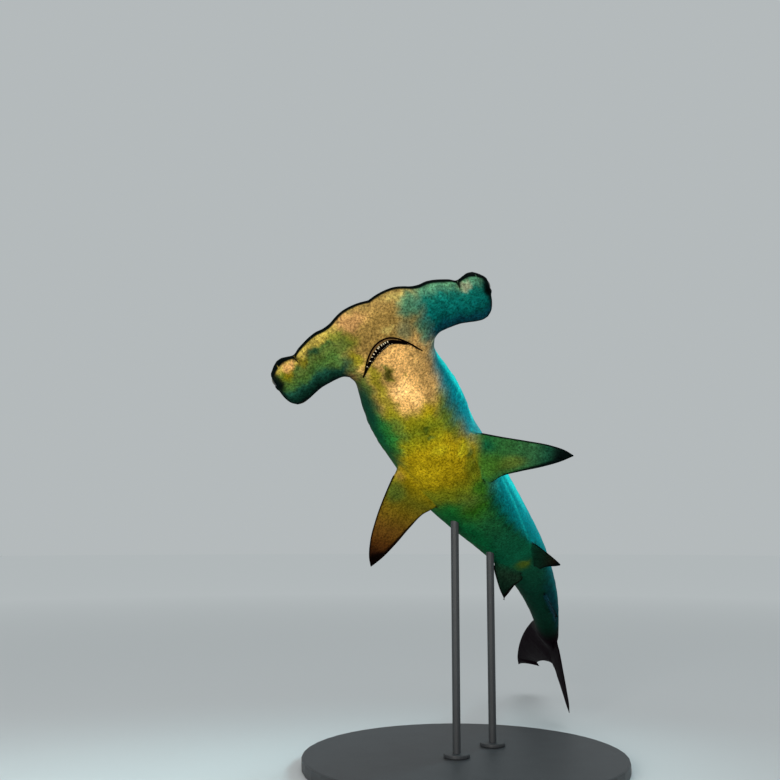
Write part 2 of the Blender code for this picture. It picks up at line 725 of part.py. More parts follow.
def middle_fin(points):
    return [(s, 0.0, z) for s, z in points]


def build_paired_fins(material, trunk, belly):
    """Pectoral and pelvic fins of both sides. The right pectoral is twisted to steer the body."""
    pectoral_lead = [
        (0.2164, 0.0460, -0.0360), (0.2240, 0.0590, -0.0412), (0.2400, 0.0810, -0.0490),
        (0.2600, 0.1070, -0.0580), (0.2800, 0.1295, -0.0660), (0.2985, 0.1440, -0.0720),
        (0.3085, 0.1488, -0.0749),
    ]
    pectoral_trail = [
        (0.2720, 0.0400, -0.0440), (0.2990, 0.0360, -0.0560), (0.2985, 0.0560, -0.0560),
        (0.3030, 0.0800, -0.0600), (0.3085, 0.1070, -0.0660), (0.3110, 0.1330, -0.0715),
        (0.3095, 0.1480, -0.0748),
    ]
    pelvic_lead = [
        (0.4530, 0.0270, -0.0350), (0.4600, 0.0340, -0.0445), (0.4730, 0.0390, -0.0515),
        (0.4875, 0.0435, -0.0590), (0.4990, 0.0455, -0.0632),
    ]
    pelvic_trail = [
        (0.4900, 0.0130, -0.0360), (0.5075, 0.0130, -0.0440), (0.5045, 0.0240, -0.0490),
        (0.5020, 0.0390, -0.0590), (0.5000, 0.0448, -0.0630),
    ]
    fins = []
    for word, side in (("right", -1), ("left", 1)):
        twist = RIGHT_FIN_TWIST if side < 0 else 0.0
        fins.append(blade(f"pectoral_fin_{word}", paired(pectoral_lead, side),
                          paired(pectoral_trail, side, twist), 0.0058, material, [trunk], 12, 8))
        fins.append(blade(f"pelvic_fin_{word}", paired(pelvic_lead, side),
                          paired(pelvic_trail, side), 0.0034, material, [belly], 8, 6, 0.010))
    return fins


def build_middle_fins(material, trunk, tail):
    """Two dorsal fins and the anal fin, on the middle line of the body."""
    first_lead = [
        (0.2830, 0.0660), (0.3000, 0.0870), (0.3230, 0.1180), (0.3500, 0.1530),
        (0.3770, 0.1830), (0.3960, 0.1985), (0.4059, 0.2016),
    ]
    first_trail = [
        (0.3760, 0.0640), (0.4100, 0.0745), (0.3920, 0.0900), (0.3870, 0.1200),
        (0.3920, 0.1550), (0.4010, 0.1850), (0.4066, 0.2000),
    ]
    second_lead = [(0.6120, 0.0265), (0.6230, 0.0370), (0.6330, 0.0470), (0.6400, 0.0515)]
    second_trail = [
        (0.6380, 0.0240), (0.6470, 0.0330), (0.6730, 0.0372), (0.6480, 0.0418), (0.6412, 0.0508),
    ]
    anal_lead = [(0.5720, -0.0290), (0.5880, -0.0385), (0.6040, -0.0475), (0.6140, -0.0520)]
    anal_trail = [
        (0.6240, -0.0235), (0.6310, -0.0312), (0.6500, -0.0345), (0.6280, -0.0405),
        (0.6160, -0.0505),
    ]
    return [
        blade("first_dorsal_fin", middle_fin(first_lead), middle_fin(first_trail), 0.0062,
              material, [trunk], 12, 8, 0.012, 0.006),
        blade("second_dorsal_fin", middle_fin(second_lead), middle_fin(second_trail), 0.0026,
              material, [tail], 8, 6, 0.008),
        blade("anal_fin", middle_fin(anal_lead), middle_fin(anal_trail), 0.0030,
              material, [tail], 8, 6, 0.008),
    ]


def caudal_half_width(s, share):
    """Half thickness of the upper lobe: the tail's own section that flattens into a blade."""
    round_part = HALF_WIDTH(np.minimum(s, STEM_END)) * mix(1.0, 0.16, ease(s, STEM_END, 0.80))
    blade_part = mix(CAUDAL_THICK, 0.0010, ease(s, 0.76, 0.96))
    ellipse = np.sqrt(np.clip(1 - (2 * share - 1) ** 2, 0, 1))
    section = 1.7 * np.sqrt(share) * (1 - share) ** 0.75
    flat = ease(s, STEM_END, 0.775)
    return np.maximum(mix(round_part * ellipse, blade_part * section, flat), 0.0003)


def build_caudal(material, stem):
    """Tail fin: an upper lobe that carries on the body, and the lower lobe set under it."""
    top, bottom = drawn_curve(CAUDAL_TOP), drawn_curve(CAUDAL_BOTTOM)
    fine = np.linspace(0, 1, 600)
    top_points, bottom_points = top(fine), bottom(fine)
    s = np.concatenate([np.linspace(STEM_END + GAP / LENGTH, 0.80, 9), np.linspace(0.80, 0.9663, 17)[1:]])
    high = np.interp(s, top_points[:, 0], top_points[:, 1])[:, None]
    low = np.interp(s, bottom_points[:, 0], bottom_points[:, 1])[:, None]
    low = np.minimum(low, high - 0.003)
    share = 0.5 - 0.5 * np.cos(np.linspace(0, math.pi, 9))[None]
    z = mix(high, low, share)
    s = np.broadcast_to(s[:, None], z.shape)
    half = caudal_half_width(s, share)
    along = (s - STEM_END) / (TAIL_TIP - STEM_END)
    flex = mix(UPPER_FLEX * along**2, TRAIL_FLEX * along, share)
    surface = Surface()
    surface.add_shell(place(s, flex + half, z), place(s, flex - half, z))
    upper = surface.finish("caudal_fin_upper_lobe", material)
    lead = [(s, 0.0, z) for s, z in LOWER_LEAD]
    trail = [(s, 0.0, z) for s, z in LOWER_TRAIL]
    lower = blade("caudal_fin_lower_lobe", lead, trail, 0.0034, material, [upper, stem], 10, 7,
                  0.004, LOWER_FLEX)
    return [upper, lower]


def disc(name, centre, radius, depth, segments, material, bevel=0.0):
    """Upright cylinder on its lower face, with its edges rounded where a bevel is given."""
    mesh = bpy.data.meshes.new(name)
    work = bmesh.new()
    bmesh.ops.create_cone(work, cap_ends=True, segments=segments, radius1=radius, radius2=radius,
                          depth=depth)
    bmesh.ops.translate(work, verts=work.verts, vec=(centre[0], centre[1], centre[2] + depth / 2))
    work.to_mesh(mesh)
    work.free()
    mesh.materials.append(material)
    obj = bpy.data.objects.new(name, mesh)
    WORKSHOP.objects.link(obj)
    if bevel:
        modifier = obj.modifiers.new("Bevel", "BEVEL")
        modifier.width = bevel
        modifier.segments = 2
        modifier.limit_method = "ANGLE"
    return obj


def lowest_under(share):
    """Point of the body's section that hangs lowest at one share of the length."""
    ring = ring_at(share)
    return ring[np.argmin(ring[:, 2])]


def build_stand(material, hosts):
    """Round base with two rods up to the belly, each on a collar."""
    nodes = [disc("stand_base", (0, 0, 0), BASE_RADIUS, BASE_HEIGHT, 48, material, BASE_BEVEL)]
    for word, share in ROD_SHARES.items():
        foot = lowest_under(share)
        collar_z = BASE_HEIGHT + GAP
        rod_z = collar_z + COLLAR_HEIGHT + GAP
        nodes.append(disc(f"stand_collar_{word}", (foot[0], foot[1], collar_z), COLLAR_RADIUS,
                          COLLAR_HEIGHT, 24, material, 0.003))
        rod = disc(f"stand_rod_{word}", (foot[0], foot[1], rod_z), ROD_RADIUS,
                   foot[2] + 0.03 - rod_z, 16, material)
        combine(rod, [swollen_copy(hosts[word])], "DIFFERENCE")
        nodes.append(rod)
    return nodes


def build_shark():
    flesh = make_material("belly_skin", BELLY_OLIVE, 0.5)
    shade = make_material("back_skin", SHADE_GREY, 0.5)
    fins = make_material("fin_skin", FIN_BROWN, 0.5)
    dark = make_material("eye", EYE_BLACK, 0.1)
    metal = make_material("stand_metal", STAND_GREY, 0.4, 0.6)
    nodes = build_head(flesh, dark)
    step = GAP / LENGTH
    throat = body_length("throat", HEAD_END + step, THROAT_END, flesh)
    add_gills(throat, flesh)
    trunk = body_length("trunk", THROAT_END + step, TRUNK_END, shade)
    belly = body_length("belly", TRUNK_END + step, BELLY_END, flesh)
    tail = body_length("tail", BELLY_END + step, TAIL_END, shade)
    stem = body_length("tail_stem", TAIL_END + step, STEM_END, flesh)
    nodes += [throat, trunk, belly, tail, stem]
    nodes += build_paired_fins(fins, trunk, belly)
    nodes += build_middle_fins(fins, trunk, tail)
    nodes += build_caudal(fins, stem)
    nodes += build_stand(metal, {"front": trunk, "rear": belly})
    return nodes


for old in list(bpy.data.objects):
    bpy.data.objects.remove(old)
WORKSHOP = bpy.data.collections.new("hammerhead_shark")
bpy.context.scene.collection.children.link(WORKSHOP)
for node in build_shark():
    node.data.shade_smooth()
    node.data.set_sharp_from_angle(angle=math.radians(40))
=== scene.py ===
"""Scalloped hammerhead shark at life size: its skin, eyes and teeth, with stand, floor and light.

Places on the body are given in its own measures, as shares of its total length:
s runs back along the spine from the snout, y to the shark's left and z to its back.
The function place turns them into metres, with +Z up and the shark heading for -Y.
Whole numbers in tables of places are ten-thousandths of the length, 0.25 mm each.
"""

import math

import bmesh
import bpy
import numpy as np
from mathutils import Matrix


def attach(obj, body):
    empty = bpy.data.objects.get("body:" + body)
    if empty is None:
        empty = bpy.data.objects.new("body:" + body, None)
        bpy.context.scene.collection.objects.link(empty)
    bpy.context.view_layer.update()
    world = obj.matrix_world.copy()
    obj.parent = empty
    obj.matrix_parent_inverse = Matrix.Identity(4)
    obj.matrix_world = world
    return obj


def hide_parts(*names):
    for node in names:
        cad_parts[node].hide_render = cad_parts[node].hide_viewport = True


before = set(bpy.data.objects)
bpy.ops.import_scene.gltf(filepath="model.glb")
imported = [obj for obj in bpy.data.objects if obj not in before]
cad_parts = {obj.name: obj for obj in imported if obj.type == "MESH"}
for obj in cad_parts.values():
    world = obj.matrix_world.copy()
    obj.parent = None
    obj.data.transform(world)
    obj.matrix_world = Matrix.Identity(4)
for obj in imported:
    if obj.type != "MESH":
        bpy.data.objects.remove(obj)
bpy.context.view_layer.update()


def scaled(table):
    """Table of ten-thousandths of the length as shares of it."""
    return np.array(table) / 10000


SIDES = {"right": -1, "left": 1}

# Sizes and pose of the animal, the same as those of its solids.
LENGTH = 2.5
PITCH_UP = 32.6
BANK = 33.4
HOLD_SHARE = 0.3
HOLD_PLACE = (0.0, -0.05, 0.95)
# Bend of the spine: share of the length, turn and roll in degrees.
BEND = [
    (0.0, 11.4, 6.3), (0.1, 11.4, 6.3), (0.155, 8.2, 3.9), (0.22, 6.6, 1.5), (0.28, 1.0, 0.0),
    (0.45, 0.6, -1.3), (0.6, 11.6, 13.2), (0.74, 22.1, 13.7), (1.0, 0.0, 12.7),
]
# Section of the body: share of the length, half width, depth below and height above.
GIRTH = scaled([
    (0, 565, 100, 130), (200, 565, 150, 190), (500, 565, 235, 280), (862, 565, 310, 390),
    (960, 526, 335, 415), (1080, 518, 370, 435), (1250, 545, 425, 475), (1550, 590, 510, 550),
    (2000, 598, 580, 640), (2400, 580, 610, 700), (2900, 578, 615, 735), (3300, 555, 605, 725),
    (3800, 500, 570, 680), (4500, 420, 480, 560), (5000, 375, 410, 480), (5600, 305, 335, 390),
    (6200, 240, 275, 310), (6800, 172, 225, 250), (7050, 148, 215, 245),
])
# Edges of the hammer as (s, y), and of the tail as (s, z).
AXIL = (0.0862, 0.0565)
FRONT_EDGE = scaled([
    (50, 0), (26, 100), (18, 220), (32, 330), (74, 430), (122, 520), (143, 600), (145, 700), (170, 790),
    (210, 880), (255, 965), (307, 1040), (293, 1110), (283, 1180), (307, 1255),
])
OUTER_EDGE = scaled([
    (307, 1255), (380, 1330), (455, 1365), (540, 1376), (640, 1368), (765, 1350), (858, 1315),
    (927, 1250),
])
REAR_EDGE = scaled([
    (862, 565), (828, 620), (826, 700), (838, 800), (858, 900), (896, 1000), (932, 1090), (947, 1175),
    (927, 1250),
])
WING_ABOVE = 0.015
WING_BELOW = 0.0125
EDGE_ROUNDING = 0.026
TIP_ROUNDING = 0.0125
STEM_END = 0.705
BLADE_START = 0.775
TAIL_TIP = 0.9648
CAUDAL_TOP = scaled([
    (7050, 245), (7170, 345), (7300, 435), (7600, 595), (8000, 785), (8500, 990), (9000, 1185),
    (9350, 1330), (9550, 1410), (9665, 1460),
])
CAUDAL_BOTTOM = scaled([
    (7050, -215), (7350, -170), (7650, -110), (7939, -45), (8000, 40), (8200, 231), (8500, 469),
    (8800, 678), (9000, 814), (9200, 950), (9320, 1030), (9360, 990), (9480, 1060), (9580, 1190),
    (9665, 1400),
])
LOWER_LEAD = scaled([
    (7055, -185), (7150, -330), (7350, -560), (7550, -795), (7700, -950), (7800, -1005),
])
LOWER_TRAIL = scaled([
    (7935, -30), (7870, -220), (7835, -430), (7830, -650), (7840, -850), (7812, -1000),
])
LOWER_FLEX = (0.0045, -0.028, 1.0)
UPPER_FLEX = -0.0134
TRAIL_FLEX = 0.016
CAUDAL_THICK = 0.0032
EYE_RADIUS = 0.0098
EYE_S = 0.052
EYE_Y = 0.1292
MOUTH_APEX = 0.0467
MOUTH_CORNER = (0.0808, 0.0369)
NOSTRIL = (0.03, 0.1035)
GILL_FIRST = 0.162
GILL_STEP = 0.0098
GILL_SLITS = 5
GILL_LOW = -0.03
GILL_HIGH = 0.016
FIN_REACH = 0.149
RIGHT_FIN_TWIST = 0.0045
PELVIC_REACH = {-1: 1.12, 1: 0.96}
# Line of the groove across each wing, as y and s, and of the light streak on the left flank,
# as s and share of the half width.
GROOVE_LINE = ([0.045, 0.06, 0.075, 0.089, 0.105], [0.023, 0.0262, 0.028, 0.031, 0.037])
STREAK_LINE = ([0.3, 0.324, 0.351, 0.38, 0.412, 0.45], [0.94, 0.92, 0.89, 0.86, 0.79, 0.66])
# A fin's sheet closer than this to the body's surface lies on its seam.
SEAM_NEAR = 0.003
# Space round the eye in its socket, in metres.
SOCKET_GAP = 0.0012

# Leading and trailing edges of the fins: the left ones of a pair as (s, y, z), the others as (s, z).
PECTORAL = [
    scaled([
        (2164, 460, -360), (2240, 590, -412), (2400, 810, -490), (2600, 1070, -580), (2800, 1295, -660),
        (2985, 1440, -720), (3085, 1488, -749),
    ]),
    scaled([
        (2720, 400, -440), (2990, 360, -560), (2985, 560, -560), (3030, 800, -600), (3085, 1070, -660),
        (3110, 1330, -715), (3095, 1480, -748),
    ]),
]
PELVIC = [
    scaled([
        (4530, 270, -350), (4600, 340, -445), (4730, 390, -515), (4875, 435, -590), (4990, 455, -632),
    ]),
    scaled([
        (4900, 130, -360), (5075, 130, -440), (5045, 240, -490), (5020, 390, -590), (5000, 448, -630),
    ]),
]
# Fins of the middle line: edges, then thickness, rows, columns, depth of the root and flex.
MIDDLE_FINS = {
    "first_dorsal": ([
        scaled([
            (2830, 660), (3000, 870), (3230, 1180), (3500, 1530), (3770, 1830), (3960, 1985),
            (4059, 2016),
        ]),
        scaled([
            (3760, 640), (4100, 745), (3920, 900), (3870, 1200), (3920, 1550), (4010, 1850),
            (4066, 2000),
        ]),
    ], (0.0062, 44, 26, 0.012, (0.0, 0.006, 2.0))),
    "second_dorsal": ([
        scaled([(6120, 265), (6230, 370), (6330, 470), (6400, 515)]),
        scaled([(6380, 240), (6470, 330), (6730, 372), (6480, 418), (6412, 508)]),
    ], (0.0026, 20, 16, 0.008)),
    "anal": ([
        scaled([(5720, -290), (5880, -385), (6040, -475), (6140, -520)]),
        scaled([(6240, -235), (6310, -312), (6500, -345), (6280, -405), (6160, -505)]),
    ], (0.003, 20, 16, 0.008)),
    "lower_lobe": ([LOWER_LEAD, LOWER_TRAIL], (0.0034, 36, 18, 0.004, LOWER_FLEX)),
}

# Mouth: share across it, and the width of the whole opening and of the crease before it, in mm.
MOUTH_WIDTHS = np.array([
    (-1.06, 2.4, 2.2), (-0.96, 5.4, 3.2), (-0.86, 11.0, 4.6), (-0.7, 20.5, 5.6), (-0.45, 29.0, 6.2),
    (-0.1, 30.0, 6.4), (0.2, 24.0, 6.2), (0.45, 17.5, 6.0), (0.7, 10.5, 6.4), (0.88, 6.4, 5.4),
    (1.0, 3.0, 2.6),
])
LIP_SHARE = 0.4
# The mouth of the photographed animal hangs a little to its right.
MOUTH_SHIFT = 0.0022
# Rows of teeth: share across the mouth from and to, how many, and whether they are the lower ones.
TOOTH_ROWS = ((-0.84, 0.1, 11, False), (-0.84, 0.3, 13, True))

# Camera of the photograph: its place from the hold point, as shares of the length, and its axes.
CAMERA_PLACE = (0.70237, -1.12233, -0.08125)
CAMERA_AXES = ((0.81254, 0.5829, 0.0), (0.08112, -0.11308, 0.99027), (0.57723, -0.80463, -0.13917))
CAMERA_LENS = 46.3
CAMERA_SENSOR = 36.0
# Lamps: side of the square in metres, watts and colour, and degrees of spread.
KEY_LAMP = (1.3, 77, (1.0, 0.96, 0.9))
TOP_LAMP = (3.0, 34, (0.95, 0.98, 1.0))
RIM_LAMP = (1.2, 18, (0.6, 0.95, 1.0), 46)
STUDIO_GREY = "#dfe6e8"
STUDIO_STRENGTH = 0.62
FLOOR_RADIUS = 30.0

# Fineness of the skin's mesh.
BODY_PANELS = 64
WING_PANELS = 56
HEAD_ROWS = 84
BODY_ROWS = np.concatenate([
    np.arange(0.0862, 0.155, 0.0028), np.arange(0.155, 0.212, 0.0007),
    np.arange(0.212, 0.7, 0.0034), np.arange(0.7, 0.92, 0.003),
    np.arange(0.92, 0.9663, 0.0016), [0.9663],
])
# Edges of the skin sharper than this, in degrees, are shaded as edges.
SHARP_FROM = 50

# Paints, as sRGB hex values.
CREAM = "#f4c27c"
PEACH = "#e4ae66"
TAN = "#b48c50"
ROSE_BROWN = "#a47a4a"
SNOUT_BROWN = "#8a6e38"
STRAW = "#ab9a56"
SAGE = "#5f875f"
GOLD = "#9c8410"
BRIGHT_GOLD = "#aaa01c"
OLIVE_GOLD = "#847c12"
OCHRE = "#7c6c0c"
OLIVE = "#646a14"
MOSS = "#4a6224"
LEAF = "#2c5c14"
FERN = "#1d5830"
SEA_GREEN = "#336850"
DEEP_GREEN = "#064a30"
BOTTLE = "#0b3626"
PINE = "#08241a"
RIM_BLACK = "#040b0a"
STONE = "#8c9072"
SLATE_OLIVE = "#66694a"
TEAL = "#0b665c"
DEEP_TEAL = "#044c48"
LIT_TEAL = "#14b2ae"
INK_TEAL = "#083842"
BACK_BRONZE = "#42463c"
BACK_DARK = "#282d2c"
TAIL_MAROON = "#10070d"
TIP_BLACK = "#090403"
MOUTH_SHADE = "#0a0404"
LIP_BROWN = "#4e3626"
PUPIL_BLACK = "#050607"
IRIS_BRASS = "#5a5428"
# How strong the speckle is on the fins.
FIN_GRAIN = 0.8

# Ground coat of the underside along its middle line, as (share of the length, paint).
GROUND_COAT = [
    (0.0, "#84703c"), (0.01, "#a08046"), (0.02, SNOUT_BROWN), (0.05, SNOUT_BROWN), (0.064, TAN),
    (0.132, TAN), (0.15, OLIVE_GOLD), (0.17, OLIVE), (0.185, OLIVE_GOLD), (0.2, GOLD), (0.248, GOLD),
    (0.262, OCHRE), (0.282, OLIVE), (0.308, MOSS), (0.326, LEAF), (0.36, FERN), (0.4, "#124e32"),
    (0.46, "#0e5a3e"), (0.5, "#124a34"), (0.56, "#0b382a"), (0.7, PINE),
]

# Patches sprayed over the middle: paint, place as (s, y), reach both ways and strength.
# Of these, #053a2c and #05542c far to the right are painted shade on that flank, and #05707a, #04868a
# and #0a585c far to the left are painted teal light on the other.
PATCHES = [
    (ROSE_BROWN, 140, -320, 100, 200, 0.9), (STRAW, 90, 300, 40, 140, 0.7),
    (SAGE, 160, 380, 60, 120, 0.8), (SEA_GREEN, 270, 410, 130, 160, 0.92),
    (MOSS, 340, -460, 140, 100, 0.8), (OLIVE, 320, -360, 100, 80, 0.5), (STRAW, 370, 50, 40, 90, 0.55),
    (SLATE_OLIVE, 460, 250, 120, 100, 0.8), (SEA_GREEN, 580, 470, 180, 120, 0.9),
    (MOSS, 630, -500, 130, 80, 0.85), (OLIVE_GOLD, 560, -400, 100, 70, 0.85),
    (PEACH, 1120, 0, 300, 200, 0.95), (PEACH, 700, 0, 160, 180, 0.8), (CREAM, 1120, -50, 120, 120, 0.6),
    (CREAM, 1280, 60, 100, 80, 0.4), (TAN, 1150, 260, 400, 120, 0.75),
    (OLIVE_GOLD, 840, -290, 220, 80, 0.85), (OLIVE_GOLD, 1160, -290, 240, 90, 0.75),
    (MOSS, 1000, -440, 300, 80, 0.92), (OLIVE_GOLD, 1400, -280, 140, 120, 0.9),
    (MOSS, 1580, -310, 180, 120, 0.85), (GOLD, 1480, 120, 80, 120, 0.6),
    (MOSS, 1720, 340, 340, 120, 0.8), ("#053a2c", 1500, -540, 600, 140, 0.97),
    ("#05707a", 1500, 570, 800, 200, 0.98), (BRIGHT_GOLD, 2260, 340, 120, 100, 0.75),
    (BRIGHT_GOLD, 2060, 60, 80, 120, 0.5), (OLIVE, 2640, 360, 240, 160, 0.85),
    (OLIVE, 2760, -300, 140, 240, 0.7), (LEAF, 3000, 300, 180, 160, 0.9),
    ("#0c5c20", 3080, -260, 180, 200, 0.85), ("#05542c", 3720, -360, 700, 280, 0.92),
    (DEEP_GREEN, 3600, 320, 500, 140, 0.8), ("#04868a", 4000, 460, 900, 170, 0.96),
    ("#3a5a20", 4850, -20, 120, 130, 0.75), ("#5c6a1a", 4840, 10, 80, 80, 0.6),
    ("#0a585c", 6100, 270, 900, 160, 0.92), (INK_TEAL, 6200, 80, 600, 80, 0.8),
    ("#5c5a1a", 872, -132, 126, 70, 0.9), ("#34340e", 888, -128, 84, 46, 0.92),
    ("#5c6420", 215, -500, 60, 100, 0.8), (MOSS, 725, -140, 30, 15, 0.9),
    (MOSS, 785, -152, 30, 14, 0.7), (OLIVE, 965, -125, 12, 45, 0.8), (OLIVE, 980, 46, 26, 20, 0.8),
    (OLIVE, 1260, -190, 22, 24, 0.75), ("#1e6428", 1680, -440, 400, 110, 0.9),
    ("#3a4a12", 1715, 5, 65, 40, 0.9), (MOSS, 1840, 40, 34, 40, 0.75), (OLIVE, 1540, -20, 20, 20, 0.7),
    (MOSS, 2400, 360, 50, 50, 0.7),
]

# Coat of each flank, as (share of the length, paint).
# The right flank's dark greens are painted shade and the left flank's teals are painted teal light,
# both over the flank's own darker tone.
FLANK_COATS = {
    -1: [(0.14, "#0a3426"), (0.24, "#06502a"), (0.4, "#045028"), (0.6, "#083a28")],
    1: [
        (0.1, "#026a74"), (0.2, "#037e88"), (0.3, "#047e84"), (0.48, "#04787c"), (0.57, "#134a50"),
    ],
}

# Coat of each wing of the hammer from its front edge to its rear edge, as (share, paint).
# The darkening towards the rear edge is painted shade, and the left wing's teals beside the right
# wing's golds are painted teal light.
WING_COATS = {
    -1: [
        (0.0, "#b09a48"), (0.11, "#a08c3c"), (0.18, "#465e2a"), (0.27, "#50602a"), (0.42, "#446028"),
        (0.52, "#3a5e30"), (0.6, "#1c4836"), (0.68, "#103429"), (0.78, "#0b281e"), (0.88, "#061612"),
        (1.0, RIM_BLACK),
    ],
    1: [
        (0.0, "#568a66"), (0.1, "#44785e"), (0.2, "#186456"), (0.32, TEAL), (0.5, "#08625c"),
        (0.62, DEEP_TEAL), (0.78, INK_TEAL), (0.9, "#062a32"), (1.0, "#041a20"),
    ],
}

# Patches of each wing, with y counted outwards.
# The bottle green in the right wing's groove is painted shade.
WING_PATCHES = {
    -1: [
        (BOTTLE, 300, 820, 40, 85, 0.8), ("#645a10", 370, 980, 60, 60, 0.85),
        ("#5c6420", 215, 500, 60, 90, 0.8), (OLIVE, 440, 1200, 80, 80, 0.85),
        ("#b98a52", 345, 1152, 62, 82, 0.92), (GOLD, 415, 1170, 45, 60, 0.6),
        (MOSS, 540, 660, 80, 100, 0.7),
    ],
    1: [
        (SAGE, 360, 1000, 40, 40, 0.6), (STONE, 355, 1080, 60, 66, 0.9), (TEAL, 440, 1100, 50, 90, 0.6),
    ],
}

# Paint of the fins below, from root to tip, as (share of the span, paint).
FIN_COATS = {
    "pectoral_right": [
        (0.0, GOLD), (0.12, OCHRE), (0.26, "#5e5a14"), (0.4, "#6a5612"), (0.58, "#664616"),
        (0.74, "#523010"), (0.84, "#2c160a"), (1.0, TIP_BLACK),
    ],
    "pectoral_left": [
        (0.0, "#4a6a1c"), (0.08, "#2c5e24"), (0.2, "#20582c"), (0.36, "#2e5e2e"), (0.6, "#2e5a36"),
        (0.74, "#184430"), (0.82, "#0b1c16"), (1.0, RIM_BLACK),
    ],
    "pelvic_right": [(0.0, "#12402a"), (0.3, "#1a3022"), (0.6, "#122a1e"), (1.0, RIM_BLACK)],
    "pelvic_left": [(0.0, BOTTLE), (0.4, "#10281c"), (0.8, "#1a140c"), (1.0, RIM_BLACK)],
    "anal": [(0.0, INK_TEAL), (0.6, "#203c46"), (1.0, RIM_BLACK)],
}

# Patches of the pectoral fins, with shares of chord and span, also in ten-thousandths.
FIN_PATCHES = {
    "pectoral_right": [(ROSE_BROWN, 1000, 400, 1400, 800, 0.7), (MOSS, 1600, 2400, 2000, 1000, 0.7)],
    "pectoral_left": [
        (DEEP_GREEN, 2800, 1700, 2000, 900, 0.85), ("#5c641c", 6600, 4200, 2200, 1400, 0.6),
        ("#48701e", 6200, 2000, 3000, 1400, 0.7),
    ],
}


def natural_spline(xs, ys):
    """Curve through points with no bend at either end, cubic between them."""
    steps = np.diff(xs)
    slopes = np.diff(ys) / steps
    count = len(xs)
    matrix = np.eye(count)
    right = np.zeros(count)
    for i in range(1, count - 1):
        matrix[i, i - 1:i + 2] = steps[i - 1], 2 * (steps[i - 1] + steps[i]), steps[i]
        right[i] = 6 * (slopes[i] - slopes[i - 1])
    bends = np.linalg.solve(matrix, right)

    def curve(x):
        x = np.asarray(x, float)
        i = np.clip(np.searchsorted(xs, x, side="right") - 1, 0, count - 2)
        before, after, step = x - xs[i], xs[i + 1] - x, steps[i]
        cubic = (bends[i] * after**3 + bends[i + 1] * before**3) / (6 * step)
        low = (ys[i] / step - bends[i] * step / 6) * after
        high = (ys[i + 1] / step - bends[i + 1] * step / 6) * before
        return cubic + low + high

    return curve


def drawn_curve(points):
    """Curve through points, followed from 0 to 1 by its length, that keeps close to its chords."""
    points = np.asarray(points, float)
    chords = np.linalg.norm(np.diff(points, axis=0), axis=1)
    marks = np.concatenate([[0.0], np.cumsum(chords)]) / chords.sum()
    slopes = np.gradient(points, marks, axis=0)

    def curve(t):
        t = np.clip(np.asarray(t, float), 0.0, 1.0)
        i = np.clip(np.searchsorted(marks, t, side="right") - 1, 0, len(marks) - 2)
        step = (marks[i + 1] - marks[i])[..., None]
        u = (t[..., None] - marks[i][..., None]) / step
        ends = (2 * u**3 - 3 * u**2 + 1) * points[i] + (3 * u**2 - 2 * u**3) * points[i + 1]
        turns = (u**3 - 2 * u**2 + u) * slopes[i] + (u**3 - u**2) * slopes[i + 1]
        return ends + turns * step

    return curve


def ease(x, low, high):
    """Smooth step from 0 at low to 1 at high."""
    t = np.clip((np.asarray(x, float) - low) / (high - low), 0.0, 1.0)
    return t * t * (3 - 2 * t)


def band(x, start, full, fade, end):
    """Smooth steps from 0 at start to 1 at full, and from 1 at fade back to 0 at end."""
    return ease(x, start, full) * (1 - ease(x, fade, end))


def mix(a, b, weight):
    """Value between a and b: a at weight 0 and b at weight 1."""
    return a + (b - a) * weight


def hill(x, middle, width):
    """Bell curve of height 1."""
    return np.exp(-((np.asarray(x, float) - middle) / width) ** 2)


def mound(a, b):
    """Bell curve of height 1 in two directions."""
    return hill(np.hypot(a, b), 0, 1.0)


def unit(vectors):
    """Vectors drawn to a length of 1."""
    return vectors / np.maximum(np.linalg.norm(vectors, axis=-1, keepdims=True), 1e-12)


def turned(a, b, angle):
    """Two directions at a right angle, both turned by an angle, a towards b."""
    return a * np.cos(angle) + b * np.sin(angle), b * np.cos(angle) - a * np.sin(angle)


def build_spine(samples=1001):
    """Points of the spine and the body's left and back directions there, in metres."""
    shares = np.linspace(0, 1, samples)
    table = np.array(BEND)
    bends = (natural_spline(table[:, 0], table[:, k])(shares) for k in (1, 2))
    turn, roll = (np.radians(bend)[:, None] for bend in bends)
    x, y, z = np.eye(3)
    ahead, left = turned(x, y, turn)
    left, back = turned(left, z, roll)
    middles = 0.5 * (ahead[1:] + ahead[:-1]) * (shares[1] - shares[0])
    points = np.concatenate([np.zeros((1, 3)), -np.cumsum(middles, 0)])
    hold = np.array([np.interp(HOLD_SHARE, shares, points[:, k]) for k in range(3)])
    nose, top = turned(-y, z, math.radians(PITCH_UP))
    port, top = turned(x, top, math.radians(BANK))
    axes = np.array([nose, port, top])
    spine = (points - hold) @ axes * LENGTH + np.array(HOLD_PLACE)
    return shares, spine, left @ axes, back @ axes


SPINE = build_spine()


def along(rows, s):
    """Values of one of the spine's tables at shares s."""
    return np.stack([np.interp(s, SPINE[0], rows[:, k]) for k in range(3)], -1)


def place(s, y, z):
    """Point at share s, y to the left and z to the back, in metres."""
    s, y, z = np.broadcast_arrays(*(np.asarray(v, float) for v in (s, y, z)))
    offset = y[..., None] * along(SPINE[2], s) + z[..., None] * along(SPINE[3], s)
    return along(SPINE[1], s) + LENGTH * offset


def runs(count, size=2000):
    """Slices that part a long array, so that the table of gaps for each stays small."""
    return [slice(low, low + size) for low in range(0, count, size)]


